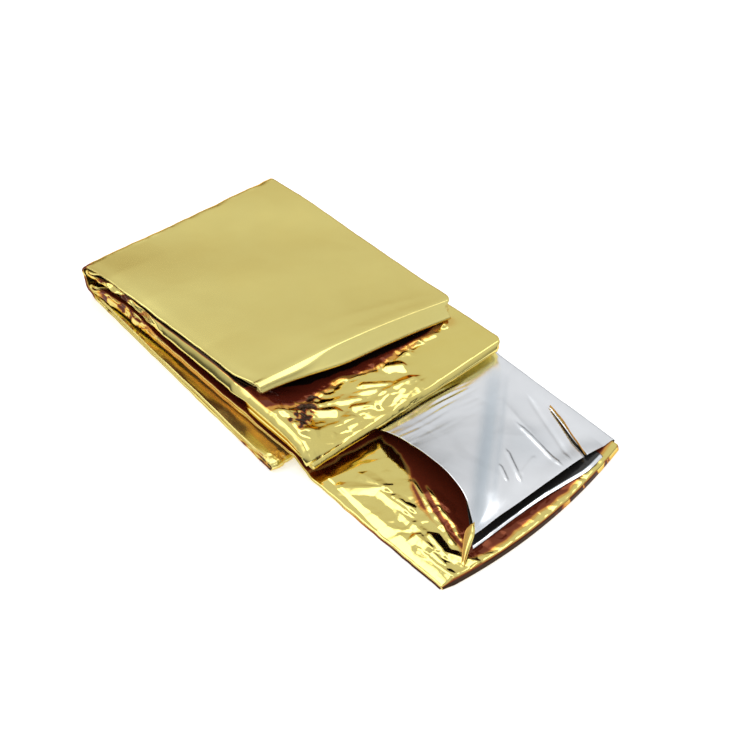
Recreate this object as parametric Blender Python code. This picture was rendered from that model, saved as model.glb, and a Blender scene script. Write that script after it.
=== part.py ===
"""Emergency foil blanket, gold outside and silver inside, as it comes out of its pouch.

The film is folded lengthwise into a narrow strip, and the strip is folded back and forth into a
stack whose layers step out towards +X. The last stretch is pulled out flat and its upper ply is
lifted into an arch, silver side up. The whole is one closed solid: the strip of pressed plies is a
sheet LAYER thick that runs through every fold, and the lifted ply joins it along the far edge.

Units are millimetres until the mesh is made. x runs along the strip from the left fold, y across
it from the near side, z up. The finished object stands with the centre of its base at the origin.
"""

from collections import namedtuple

import bmesh
import bpy
import numpy as np
from mathutils import Vector

METRE = 0.001

# Driving dimensions. The strip is the blanket's 2.1 m folded into twenty, a little spread.
LAYER = 1.4  # thickness of the strip's pressed plies
PITCH = 1.9  # from one layer to the next where the stack lies pressed
ON_GROUND = LAYER / 2  # height of a layer's middle when it lies on the ground
ON_BASE = ON_GROUND + PITCH  # and when it lies on the lowest layer

# Rows of the strip: points across it, round a fold, and along a layer.
ACROSS = 15
ROUND = 6
ROW_STEP = 9.0
ROWS_AT_LEAST = 4
CORNER_ROWS = (4.2, 1.6)  # further rows that far before a fold with a rounded corner

# The fold lines in the order in which the strip runs, from its tucked end under the stack to its
# open end. x is given at the near edge, at MID_SHARE of the width and at the far edge, y at both
# edges. "in" is the height of the layer that arrives and "out" of the layer that leaves, each at
# the near and the far edge, and corner is the radius of the fold's far corner on the plan.
MID_SHARE = 0.45
Fold = namedtuple(
    "Fold", "name x_near x_mid x_far y_near y_far in_near in_far out_near out_far corner"
)
# fmt: off
FOLDS = (
    Fold("tucked_end", 5.0, 5.0, 5.0, 1.5, 104.0, None, None, ON_BASE, ON_BASE, 0.0),
    Fold("base_front", 140.5, 137.0, 132.5, -14.0, 91.0, ON_BASE, ON_BASE, ON_GROUND, ON_GROUND, 0.0),
    Fold("left_wrap", 8.0, 8.0, 8.0, 1.0, 104.5, ON_GROUND, ON_GROUND, 12.1, 12.1, 0.0),
    Fold("top_front", 112.6, 113.8, 118.8, -0.8, 103.2, 20.2, 15.2, 14.2, 10.4, 5.0),
    Fold("inner_left_upper", 0.2, 0.2, 0.2, 1.5, 104.0, 10.2, 10.2, 8.3, 8.3, 0.0),
    Fold("second_front", 155.0, 151.5, 147.0, -5.0, 105.3, 7.9, 8.6, 6.0, 6.6, 4.0),
    Fold("inner_left_lower", 2.4, 2.4, 2.4, 1.5, 104.0, 6.4, 6.4, 4.5, 4.5, 0.0),
    Fold("open_end", 237.6, 236.2, 221.6, -9.2, 99.0, ON_GROUND, ON_GROUND, None, None, 0.0),
)
# fmt: on
LEFT_FOLDS = ("left_wrap", "inner_left_upper", "inner_left_lower")

# The wrap round the left end leans outwards: its foot starts at x_near, its head at WRAP_HEAD.
WRAP_HEAD = 0.0
WRAP_BULGE = 6.0
WRAP_ROUND = 12

# Where the last layer comes down off the base fold on to the ground, and how late its far edge
# tapers in towards the open end.
DROP_AFTER = 2.6  # past the base fold's line
DROP_RUN = 14.0
TAPER_POWER = 2.2

# The second pad's upper layer stands propped up along its near edge, highest at PROP_AT under the
# top pad's corner, and its lower layer lies tucked in from the near side up to there.
PROP_AT = 112.0
PROP_LIFT = 3.4
PROP_REACH = 15.0  # how far in from the near edge it has all but died away
TUCK = 8.0
TUCK_EASE = 9.0  # over which the tuck begins and ends
TUCK_FROM = 4.0

# How the layers swell from flat and the strip's edges wander from straight.
SWELL = 0.45
SWELL_WAVES = (0.043, 0.061)  # radians to the millimetre along and across the strip
SWELL_PHASES = (0.7, -0.4)  # of those waves, in radians
CROSS_WAVE = (0.5, 2.3)  # height of the slanting wave, and its crests to each of the long wave's
SWELL_FROM = PITCH + LAYER  # height above which layers swell, fully from SWELL_OVER above it
SWELL_OVER = 10.0
EDGE_WANDER = 0.7
WANDER_WAVES = (0.052, 0.9)  # radians to the millimetre along the strip and upwards
WANDER_OVER = 1.0  # height above the lowest layers over which the wander grows to its full

# The lifted ply's free edge, from under the second fold to the front corner where it comes down.
# x and y are places on the plan, and z is the ply's middle.
Edge = namedtuple("Edge", "x y z")
ARCH = (
    Edge(149.0, 31.5, 4.0),
    Edge(153.5, 31.0, 4.1),
    Edge(158.0, 30.7, 6.6),
    Edge(168.0, 30.3, 9.2),
    Edge(180.0, 28.3, 11.6),
    Edge(191.0, 26.0, 13.2),
    Edge(202.0, 23.2, 14.4),
    Edge(213.0, 20.0, 14.6),
    Edge(222.0, 16.6, 13.4),
    Edge(229.5, 12.4, 9.6),
    Edge(235.0, 5.5, 2.7),
)
PLY_BACK_FAR = 142.5  # x of the lifted ply's hidden back edge at its far side
PLY_FRONT_FAR = 219.0  # x of its front edge at its far side
PLY_REST = 2.3  # from the lowest layer's middle up to the ply's, at the far edge
PLY_ACROSS = 16
FALL_POWER = 1.6  # how the ply falls from its free edge to the far side
FRONT_SWELL = 7.0  # how much higher its front edge stands between the two
FRONT_SWELL_POWER = 0.45
RIM_START = 0.94  # share of the ply's width where it begins to turn down to the strip
RIM_BULGE = 1.7
RIM_ANCHOR = 3.0  # how far the ply's turned end runs inside the strip
RIM_THINNING = 0.7  # of its thickness there, over the last RIM_THINNED points
RIM_THINNED = 3

# The slit beside the far edge, where the ply's front has come apart from its turned rim.
SLIT_BACK = (187.0, 95.0)
SLIT_FRONT = (224.0, 81.6)
SLIT_WIDTHS = (0.9, 3.4)  # at its back and at its front
SLIT_HEIGHTS = (2.0, 20.0)

GOLD = (0.83, 0.67, 0.20, 1.0)
GOLD_ROUGHNESS = 0.16


def smooth(share):
    """A share from 0 to 1, eased at both ends."""
    share = np.clip(share, 0.0, 1.0)
    return share * share * (3.0 - 2.0 * share)


def between(start, end, share):
    """The value a share of the way from start to end."""
    return start + (end - start) * share


def fold(name):
    """The row of that fold."""
    return next(row for row in FOLDS if row.name == name)


def line_x(line, v):
    """x of a fold line at a share v of the width: a quadratic through its three places."""
    m = MID_SHARE
    return (
        line.x_near * (v - m) * (v - 1) / m
        + line.x_mid * v * (v - 1) / (m * (m - 1))
        + line.x_far * v * (v - m) / (1 - m)
    )


def corner_inset(line, back):
    """How far the far edge draws in, at that distance behind the fold's foremost line."""
    reach = max(line.corner - back, 0.0)
    return line.corner - np.sqrt(line.corner**2 - reach**2)


def last_layer_height(x, v):
    """Middle height of the last layer, which lies on the base fold and then on the ground."""
    start = line_x(fold("base_front"), v) + DROP_AFTER
    return between(fold("inner_left_lower").out_near, ON_GROUND, smooth((x - start) / DROP_RUN))


def last_layer_y(x, v):
    """y on the last layer, whose far edge tapers in towards the open end."""
    back, front = fold("inner_left_lower"), fold("open_end")
    share = np.clip((x - back.x_near) / (front.x_near - back.x_near), 0.0, 1.0)
    near = between(back.y_near, front.y_near, share)
    far = between(back.y_far, front.y_far, share**TAPER_POWER)
    return between(near, far, v)


def fold_bulge(line):
    """How far a fold reaches past its line at the far edge: half the gap between its layers."""
    return abs(line.in_far - line.out_far) / 2


def propped(x, y, line):
    """How much the second pad's upper layer is lifted: a ridge along its near edge."""
    rise = np.interp(x, (0.0, PROP_AT, line.x_near), (0.0, 1.0, 0.0))
    return PROP_LIFT * rise * np.exp(-(((y - line.y_near) / PROP_REACH) ** 2))


def tucked(x):
    """How far the second pad's lower layer is drawn in from the near side."""
    return TUCK * smooth((x - TUCK_FROM) / TUCK_EASE) * smooth((PROP_AT - x) / TUCK_EASE)


def layer_rows(start, end, v):
    """The rows of points along the layer between two fold lines, without the lines themselves."""
    length = abs(end.x_near - start.x_near)
    count = max(ROWS_AT_LEAST, round(length / ROW_STEP))
    shares = set(np.arange(1, count) / count)
    for line in (start, end):
        if line.corner:
            nearby = [distance / length for distance in CORNER_ROWS]
            shares |= {1 - near if line is end else near for near in nearby}
    rows = []
    for share in sorted(shares):
        x = between(line_x(start, v), line_x(end, v), share)
        z = between(
            between(start.out_near, start.out_far, v), between(end.in_near, end.in_far, v), share
        )
        y_far = between(start.y_far, end.y_far, share)
        for line, apart in ((start, share * length), (end, (1 - share) * length)):
            if line.corner:
                y_far -= corner_inset(line, apart + fold_bulge(line))
        y_near = between(start.y_near, end.y_near, share)
        if start.name == "second_front":
            y_near = y_near + tucked(x[0])
        y = between(y_near, y_far, v)
        if end.name == "second_front":
            z = z + propped(x, y, end)
        if end.name == "open_end":
            y, z = last_layer_y(x, v), last_layer_height(x, v)
        rows.append(np.stack([x, y, z], axis=1))
    return rows


def end_row(line, v):
    """The single row of points at an end of the strip."""
    x = line_x(line, v)
    if line.name == "open_end":
        return np.stack([x, last_layer_y(x, v), np.full_like(v, line.in_near)], axis=1)
    y = between(line.y_near, line.y_far, v)
    return np.stack([x, y, np.full_like(v, line.out_near)], axis=1)


def fold_rows(line, v):
    """The rows of points round a fold: half an ellipse that bulges out past the layers' ends."""
    x = line_x(line, v)
    low, high = between(line.in_near, line.in_far, v), between(line.out_near, line.out_far, v)
    middle, half = (low + high) / 2, (high - low) / 2
    outwards = -1.0 if line.name in LEFT_FOLDS else 1.0
    is_wrap = line.name == "left_wrap"
    bulge = WRAP_BULGE if is_wrap else np.abs(half)
    rows = []
    for angle in np.linspace(-np.pi / 2, np.pi / 2, (WRAP_ROUND if is_wrap else ROUND) + 1):
        foot = between(x, WRAP_HEAD, (1 + np.sin(angle)) / 2) if is_wrap else x
        back = fold_bulge(line) * (1 - np.cos(angle))
        y = between(line.y_near, line.y_far - corner_inset(line, back), v)
        x_round = foot + outwards * bulge * np.cos(angle)
        rows.append(np.stack([x_round, y, middle + half * np.sin(angle)], axis=1))
    return rows


def uneven(points):
    """The strip's gentle unevenness: its edges wander, and layers swell in step so that none meet.

    The swell grows with height and is nothing at the lowest layers, which lie flat.
    """
    x, y, z = points[..., 0], points[..., 1], points[..., 2]
    along, across = SWELL_WAVES[0] * x, SWELL_WAVES[1] * y
    height, crests = CROSS_WAVE
    wave = np.sin(along + SWELL_PHASES[0]) * np.cos(across + SWELL_PHASES[1])
    wave += height * np.sin(crests * along - across)
    swell = SWELL * np.clip((z - SWELL_FROM) / SWELL_OVER, 0.0, 1.0) * wave
    phase = WANDER_WAVES[0] * x + WANDER_WAVES[1] * z
    wander = EDGE_WANDER * np.sin(phase) * np.clip((z - PITCH) / WANDER_OVER, 0.0, 1.0)
    return np.stack([x, y + wander, z + swell], axis=-1)


def strip_grid():
    """The middle surface of the whole strip, rows by points across, from tucked end to open end."""
    v = np.linspace(0.0, 1.0, ACROSS)
    rows = [end_row(FOLDS[0], v)]
    for start, end in zip(FOLDS, FOLDS[1:]):
        rows += layer_rows(start, end, v)
        rows += [end_row(end, v)] if end.name == "open_end" else fold_rows(end, v)
    return uneven(np.array(rows))


def lifted_ply_grid():
    """The middle surface of the lifted ply, rows along the strip by points across it.

    Each row falls from the arch's free edge to its resting height at the far edge, and its last
    points turn down round the rim and end inside the strip.
    """
    t = np.linspace(0.0, RIM_START, PLY_ACROSS)
    run = t / RIM_START
    rows = []
    for edge in ARCH:
        share = (edge.x - ARCH[0].x) / (ARCH[-1].x - ARCH[0].x)
        x_far = between(PLY_BACK_FAR, PLY_FRONT_FAR, share)
        y_far = last_layer_y(x_far, 1.0)
        ground = last_layer_height(x_far, 1.0)
        z = between(ground + PLY_REST, edge.z, (1.0 - run) ** FALL_POWER)
        if edge is ARCH[-1]:
            z += FRONT_SWELL * np.sin(np.pi * run**FRONT_SWELL_POWER) * (1.0 - run)
        row = list(np.stack([between(edge.x, x_far, t), between(edge.y, y_far, t), z], axis=1))
        for angle in np.linspace(np.pi / 2, -np.pi / 2, ROUND + 1):
            y_round = y_far + RIM_BULGE * np.cos(angle)
            row.append([x_far, y_round, ground + PLY_REST / 2 * (1 + np.sin(angle))])
        row.append([x_far, y_far - RIM_ANCHOR, ground])
        rows.append(row)
    return np.array(rows)


def normals_of(grid):
    """Unit normals of a grid of points, from its neighbours' differences."""
    normals = np.cross(np.gradient(grid, axis=0), np.gradient(grid, axis=1))
    return normals / np.linalg.norm(normals, axis=2, keepdims=True)


def sheet_mesh(name, grid, half_thickness):
    """A closed sheet round a middle surface: the grid moved both ways along its normals.

    half_thickness is one number, or one for each point across the grid.
    """
    offset = normals_of(grid) * np.broadcast_to(half_thickness, grid.shape[:2])[..., None]
    rows, columns = grid.shape[:2]
    mesh = bmesh.new()
    top, bottom = [
        [[mesh.verts.new(Vector(point) * METRE) for point in row] for row in grid + sign * offset]
        for sign in (1, -1)
    ]
    for i in range(rows - 1):
        for j in range(columns - 1):
            mesh.faces.new((top[i][j], top[i + 1][j], top[i + 1][j + 1], top[i][j + 1]))
            mesh.faces.new((bottom[i][j], bottom[i][j + 1], bottom[i + 1][j + 1], bottom[i + 1][j]))
    rim = [(i, 0) for i in range(rows)] + [(rows - 1, j) for j in range(1, columns)]
    rim += [(i, columns - 1) for i in range(rows - 2, -1, -1)]
    rim += [(0, j) for j in range(columns - 2, 0, -1)]
    for (i, j), (k, m) in zip(rim, rim[1:] + rim[:1]):
        mesh.faces.new((top[i][j], bottom[i][j], bottom[k][m], top[k][m]))
    return finished_mesh(name, mesh)


def finished_mesh(name, mesh):
    """The mesh data of a bmesh, with its faces pointing out."""
    bmesh.ops.recalc_face_normals(mesh, faces=mesh.faces)
    data = bpy.data.meshes.new(name)
    mesh.to_mesh(data)
    mesh.free()
    return data


def new_object(name, data):
    """An object with that mesh, in the scene."""
    made = bpy.data.objects.new(name, data)
    bpy.context.scene.collection.objects.link(made)
    return made


def helper(made):
    """Marks an object as one that only shapes another."""
    made.hide_render = True
    made.display_type = "WIRE"
    return made


def boolean(target, other, operation):
    """Adds a Boolean modifier to target."""
    modifier = target.modifiers.new(operation.lower(), "BOOLEAN")
    modifier.operation = operation
    modifier.object = other
    modifier.solver = "EXACT"


def slit_cutter():
    """The wedge that parts the lifted ply's front from its rim."""
    back, front = np.array(SLIT_BACK), np.array(SLIT_FRONT)
    along = (front - back) / np.linalg.norm(front - back)
    side = np.array([-along[1], along[0]]) / 2
    plan = [
        back - side * SLIT_WIDTHS[0],
        front - side * SLIT_WIDTHS[1],
        front + side * SLIT_WIDTHS[1],
        back + side * SLIT_WIDTHS[0],
    ]
    low, high = SLIT_HEIGHTS
    mesh = bmesh.new()
    base = mesh.faces.new([mesh.verts.new(Vector((*corner, low)) * METRE) for corner in plan])
    grown = bmesh.ops.extrude_face_region(mesh, geom=[base])
    lifted = [item for item in grown["geom"] if isinstance(item, bmesh.types.BMVert)]
    bmesh.ops.translate(mesh, verts=lifted, vec=Vector((0, 0, high - low)) * METRE)
    return helper(new_object("slit", finished_mesh("slit", mesh)))


def lifted_ply():
    """The lifted ply, with the slit cut through it."""
    grid = lifted_ply_grid()
    thickness = np.full(grid.shape[1], LAYER / 2)
    thickness[-RIM_THINNED:] *= RIM_THINNING
    ply = helper(new_object("lifted_ply", sheet_mesh("lifted_ply", grid, thickness)))
    slit = slit_cutter()
    boolean(ply, slit, "DIFFERENCE")
    return ply, slit


def gold_foil():
    """The outer face of the film: aluminium seen through gold lacquer."""
    material = bpy.data.materials.new("gold_foil")
    material.use_nodes = True
    shader = material.node_tree.nodes["Principled BSDF"]
    shader.inputs["Base Color"].default_value = GOLD
    shader.inputs["Metallic"].default_value = 1.0
    shader.inputs["Roughness"].default_value = GOLD_ROUGHNESS
    return material


def middle_of_base(objects):
    """The middle of the box that the objects' meshes fill, on the ground."""
    points = np.array([vertex.co for item in objects for vertex in item.data.vertices])
    middle = (points.min(axis=0) + points.max(axis=0)) / 2
    return Vector((middle[0], middle[1], 0.0))


def main():
    for leftover in list(bpy.data.objects):
        bpy.data.objects.remove(leftover)
    blanket = new_object("foil_blanket", sheet_mesh("foil_blanket", strip_grid(), LAYER / 2))
    blanket.data.materials.append(gold_foil())
    ply, slit = lifted_ply()
    boolean(blanket, ply, "UNION")
    middle = middle_of_base([blanket, ply])
    for item in (blanket, ply, slit):
        item.location = -middle


main()
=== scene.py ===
"""Emergency foil blanket, gold outside and silver inside, half out of its folds.

The film is folded lengthwise into a strip, and the strip is folded back and forth into a stack
whose layers step out towards +X. The last stretch lies flat, and its upper ply is lifted into an
arch. Shapes are worked out in strip millimetres, with x along the strip from the left fold, y
across it from the near side and z up, and are moved into the frame as a mesh is made.
"""

import logging
from dataclasses import dataclass
from enum import Enum, IntEnum

import bpy
import numpy as np
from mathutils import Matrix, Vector


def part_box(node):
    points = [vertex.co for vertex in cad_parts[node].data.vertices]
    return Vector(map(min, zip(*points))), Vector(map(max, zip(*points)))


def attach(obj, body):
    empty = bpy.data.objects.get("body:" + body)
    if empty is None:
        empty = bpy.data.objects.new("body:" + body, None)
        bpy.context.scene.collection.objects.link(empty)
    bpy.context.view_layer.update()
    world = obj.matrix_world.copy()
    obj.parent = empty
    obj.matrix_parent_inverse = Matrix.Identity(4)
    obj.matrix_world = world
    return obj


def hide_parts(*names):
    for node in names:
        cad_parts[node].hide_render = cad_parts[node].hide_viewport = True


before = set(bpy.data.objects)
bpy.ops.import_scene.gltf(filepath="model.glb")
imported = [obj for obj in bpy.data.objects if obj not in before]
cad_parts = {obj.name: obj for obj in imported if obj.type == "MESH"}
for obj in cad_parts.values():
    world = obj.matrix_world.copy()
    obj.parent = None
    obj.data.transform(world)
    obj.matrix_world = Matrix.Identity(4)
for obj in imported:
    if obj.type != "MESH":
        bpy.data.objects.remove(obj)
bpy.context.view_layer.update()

LOG = logging.getLogger("foil_blanket")
NODE = "foil_blanket"
BODY = "root"
METRE = 0.001

# Where the CAD node's lowest corner lies in strip millimetres.
CAD_LOW = np.array([-3.893, -14.108, 0.0])
ORIGIN = CAD_LOW - np.array(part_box(NODE)[0]) / METRE

Array = np.ndarray
Pair = tuple[float, float]
Triple = tuple[float, float, float]
Span = tuple[float, float, float, float]
Profile = tuple[tuple[float, ...], tuple[float, ...]]


class Slot(Enum):
    """The record's material slots."""

    GOLD = "gold_foil"
    SILVER = "silver_foil"


# ---------------- shape helpers


def smooth(share: Array | float) -> Array:
    """A share from 0 to 1, eased at both ends: 3s^2 - 2s^3."""
    share = np.clip(share, 0.0, 1.0)
    return share * share * (3.0 - 2.0 * share)


def step(value: Array, start: float, end: float) -> Array:
    """Rises smoothly from 0 at start to 1 at end, or falls where end is below start."""
    return smooth((value - start) / (end - start))


def window(value: Array, span: Span) -> Array:
    """0 before the first place of the span, 1 between its middle ones and 0 past the last."""
    return step(value, span[0], span[1]) * step(value, span[3], span[2])


def calmed(height: Array, calm: float, value: Array, start: float, end: float) -> Array:
    """The height, of which only the calm share is left until the value rises past its start."""
    return height * (calm + (1.0 - calm) * step(value, start, end))


def bell(value: Array, width: float) -> Array:
    """1 at zero, falling to either side: exp(-(value / width)^2)."""
    return np.exp(-((value / width) ** 2))


def between(start: Array | float, end: Array | float, share: Array | float) -> Array:
    """The value a share of the way from start to end."""
    return start + (end - start) * share


def spaced(*stretches: tuple[float, float, int]) -> Array:
    """Shares from 0 to 1, evenly spaced from a start to an end, stretch by stretch."""
    return np.concatenate([np.linspace(*stretch) for stretch in stretches])


def through(places: Array, at: Array) -> Array:
    """A smooth curve through places, which are evenly spaced in its parameter.

    Each span is a cubic whose slopes at its ends are half the step between the neighbours.

    Args:
        places: Points, one a row.
        at: Parameters from 0 to the number of places less one.

    Returns:
        The points on the curve, one a row.
    """
    first = 2 * places[0] - places[1]
    last = 2 * places[-1] - places[-2]
    p = np.vstack([first, places, last])
    k = np.clip(np.floor(at).astype(int), 0, len(places) - 2)
    t = (at - k)[:, None]
    a, b, c, d = p[k], p[k + 1], p[k + 2], p[k + 3]
    return 0.5 * (
        2 * b + (c - a) * t + (2 * a - 5 * b + 4 * c - d) * t**2 + (3 * b - a - 3 * c + d) * t**3
    )


def normals_of(grid: Array) -> Array:
    """Unit normals of a grid of points: the cross product of its steps both ways."""
    normals = np.cross(np.gradient(grid, axis=0), np.gradient(grid, axis=1))
    return normals / np.maximum(np.linalg.norm(normals, axis=2, keepdims=True), 1e-9)


def unit(vectors: Array) -> Array:
    """Vectors of length one, in their last axis."""
    return vectors / np.linalg.norm(vectors, axis=-1, keepdims=True)


def grid_faces(rows: int, columns: int) -> Array:
    """The faces of a grid of points, each of which joins four neighbours.

    Args:
        rows: How many rows of points.
        columns: How many points in a row.

    Returns:
        Indices of four corners, face by face.
    """
    index = np.arange(rows * columns).reshape(rows, columns)
    corners = [index[:-1, :-1], index[1:, :-1], index[1:, 1:], index[:-1, 1:]]
    return np.stack(corners, axis=2).reshape(-1, 4)


# ---------------- relief

LATTICE = 64
CELL_CORNERS = ((0, 0), (1, 0), (0, 1), (1, 1))
OCTAVE_TURN = 1.1
OCTAVE_FALL = 0.75
BEND_SHARE = 0.55
BEND_CELLS = 3.7
BEND_RIPPLES = (2.3, 1.9)


@dataclass(frozen=True)
class Crumple:
    """Film that has been crushed and smoothed out: flat facets that meet in sharp creases.

    Attributes:
        cell: Width of the largest facets, in millimetres.
        slope: Typical slope of a facet.
        seed: Seed of the drawn heights.
        stretch: How much longer than wide the facets are.
        turn: Angle of their long side from the strip's, in radians.
        octaves: How many times it repeats at half the size.
    """

    cell: float
    slope: float
    seed: int
    stretch: float = 1.0
    turn: float = 0.4
    octaves: int = 2

    def height(self, a: Array, b: Array) -> Array:
        """Height of the facets at the places (a, b).

        A square lattice, bent by slow waves of BEND_CELLS cells, carries a drawn height at each
        corner. Each cell is split along a diagonal, and the height is linear on either half. The
        octaves are added, each half as wide as the one before and OCTAVE_FALL times as steep.

        Args:
            a: Places along the strip, in millimetres.
            b: Places across it.

        Returns:
            Heights in millimetres.
        """
        rng = np.random.default_rng(self.seed)
        total = np.zeros_like(a)
        cell = self.cell
        for octave in range(self.octaves):
            angle = self.turn + octave * OCTAVE_TURN
            phase = rng.uniform(0, 2 * np.pi, 4)
            bend = BEND_SHARE * cell
            wave = 2 * np.pi / (cell * BEND_CELLS)
            one, two = BEND_RIPPLES
            aw = a + bend * (np.sin(wave * b + phase[0]) + 0.5 * np.sin(one * wave * a + phase[1]))
            bw = b + bend * (np.sin(wave * a + phase[2]) + 0.5 * np.sin(two * wave * b + phase[3]))
            p = (aw * np.cos(angle) + bw * np.sin(angle)) / (cell * self.stretch)
            q = (bw * np.cos(angle) - aw * np.sin(angle)) / cell
            heights = rng.uniform(-1.0, 1.0, (LATTICE, LATTICE))
            i, j = np.floor(p).astype(int), np.floor(q).astype(int)
            f, g = p - i, q - j
            near, along, across, past = (
                heights[(i + m) % LATTICE, (j + n) % LATTICE] for m, n in CELL_CORNERS
            )
            low = near + f * (along - near) + g * (across - near)
            high = past + (1 - f) * (across - past) + (1 - g) * (along - past)
            total += np.where(f + g < 1.0, low, high) * cell * self.slope * OCTAVE_FALL**octave
            cell *= 0.5
        return total


END_SHARE = 0.17


@dataclass(frozen=True)
class Crease:
    """A trough or a ridge at a given place.

    Attributes:
        start: One end, along and across, in millimetres.
        end: The other end.
        height: Of its crest, or below zero how far its trough sinks.
        width: From its middle to where it has fallen to a third, or to its foot if faceted.
        sharp: 2 for a round crest, 1 for a sharp one.
        faceted: Whether it is a long roof with flat sides and ends, as pressed film creases.
    """

    start: Pair
    end: Pair
    height: float
    width: float
    sharp: float = 2.0
    faceted: bool = False

    def relief(self, a: Array, b: Array) -> Array:
        """Height of the crease at the places (a, b).

        A round one is exp(-(distance / width)^sharp). A faceted one falls evenly to either side,
        and over END_SHARE of its length towards each end.

        Args:
            a: Places along the strip, in millimetres.
            b: Places across it.

        Returns:
            Heights in millimetres.
        """
        start, end = np.array(self.start), np.array(self.end)
        length = np.linalg.norm(end - start)
        along = (end - start) / length
        run = (a - start[0]) * along[0] + (b - start[1]) * along[1]
        off = np.abs((b - start[1]) * along[0] - (a - start[0]) * along[1])
        if self.faceted:
            taper = np.clip((1.0 - np.abs(2.0 * run / length - 1.0)) / (2 * END_SHARE), 0.0, 1.0)
            return self.height * np.clip(taper - off / self.width, 0.0, None)
        taper = np.sin(np.pi * np.clip(run / length, 0.0, 1.0)) ** 0.5
        return self.height * taper * np.exp(-((off / self.width) ** self.sharp))


def folded(*places: tuple[Pair, Pair, float, float]) -> tuple[Crease, ...]:
    """Faceted creases, each from its ends, its height and its width."""
    return tuple(Crease(*place, faceted=True) for place in places)


def creased(creases: tuple[Crease, ...], a: Array, b: Array) -> Array:
    """The sum of the creases' heights at the places (a, b)."""
    return sum((crease.relief(a, b) for crease in creases), np.zeros_like(a))


def pressed(creases: tuple[Crease, ...], a: Array, b: Array) -> Array:
    """The highest ridge and the deepest trough at each place, so that facets keep their slopes."""
    reliefs = np.array([crease.relief(a, b) for crease in creases])
    return reliefs.max(axis=0) + reliefs.min(axis=0)


@dataclass(frozen=True)
class Creasing:
    """Many short faceted creases in drawn places, as handling leaves in film.

    Attributes:
        count: How many.
        low: Lowest place along and across.
        high: Highest place along and across.
        length: Shortest and longest.
        width: Narrowest and widest.
        slope: Gentlest and steepest of their sides.
        turn: Their usual angle from the strip's direction, in radians.
        spread: How far they turn from it.
        seed: Seed of the draw.
        ridges: Share of them that stand up, while the others are troughs.
    """

    count: int
    low: Pair
    high: Pair
    length: Pair
    width: Pair
    slope: Pair
    turn: float
    spread: float
    seed: int
    ridges: float = 1.0

    def creases(self) -> tuple[Crease, ...]:
        """The drawn creases.

        Returns:
            Creases whose middles are spread evenly, and whose angles by a normal draw.
        """
        rng = np.random.default_rng(self.seed)
        made = []
        for _ in range(self.count):
            middle = rng.uniform(self.low, self.high)
            angle = self.turn + rng.normal() * self.spread
            half = rng.uniform(*self.length) / 2 * np.array([np.cos(angle), np.sin(angle)])
            sign = 1.0 if rng.uniform() < self.ridges else -1.0
            width = rng.uniform(*self.width)
            height = sign * width * rng.uniform(*self.slope)
            made.append((tuple(middle - half), tuple(middle + half), height, width))
        return folded(*made)


def swell(a: Array, b: Array, length: float, seed: int, waves: int = 5) -> Array:
    """Slow waves in drawn directions, about one unit high, of about that length.

    Args:
        a: Places along the strip, in millimetres.
        b: Places across it.
        length: Of the waves, in millimetres.
        seed: Seed of their directions.
        waves: How many are added up.

    Returns:
        Heights, as a sum of sines over the root of their number.
    """
    rng = np.random.default_rng(seed)
    total = np.zeros_like(a)
    for _ in range(waves):
        angle, phase = rng.uniform(0, 2 * np.pi, 2)
        number = 2 * np.pi / (length * rng.uniform(0.7, 1.6))
        total += np.sin(number * (a * np.cos(angle) + b * np.sin(angle)) + phase)
    return total / np.sqrt(waves)


# ---------------- finishes


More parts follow.
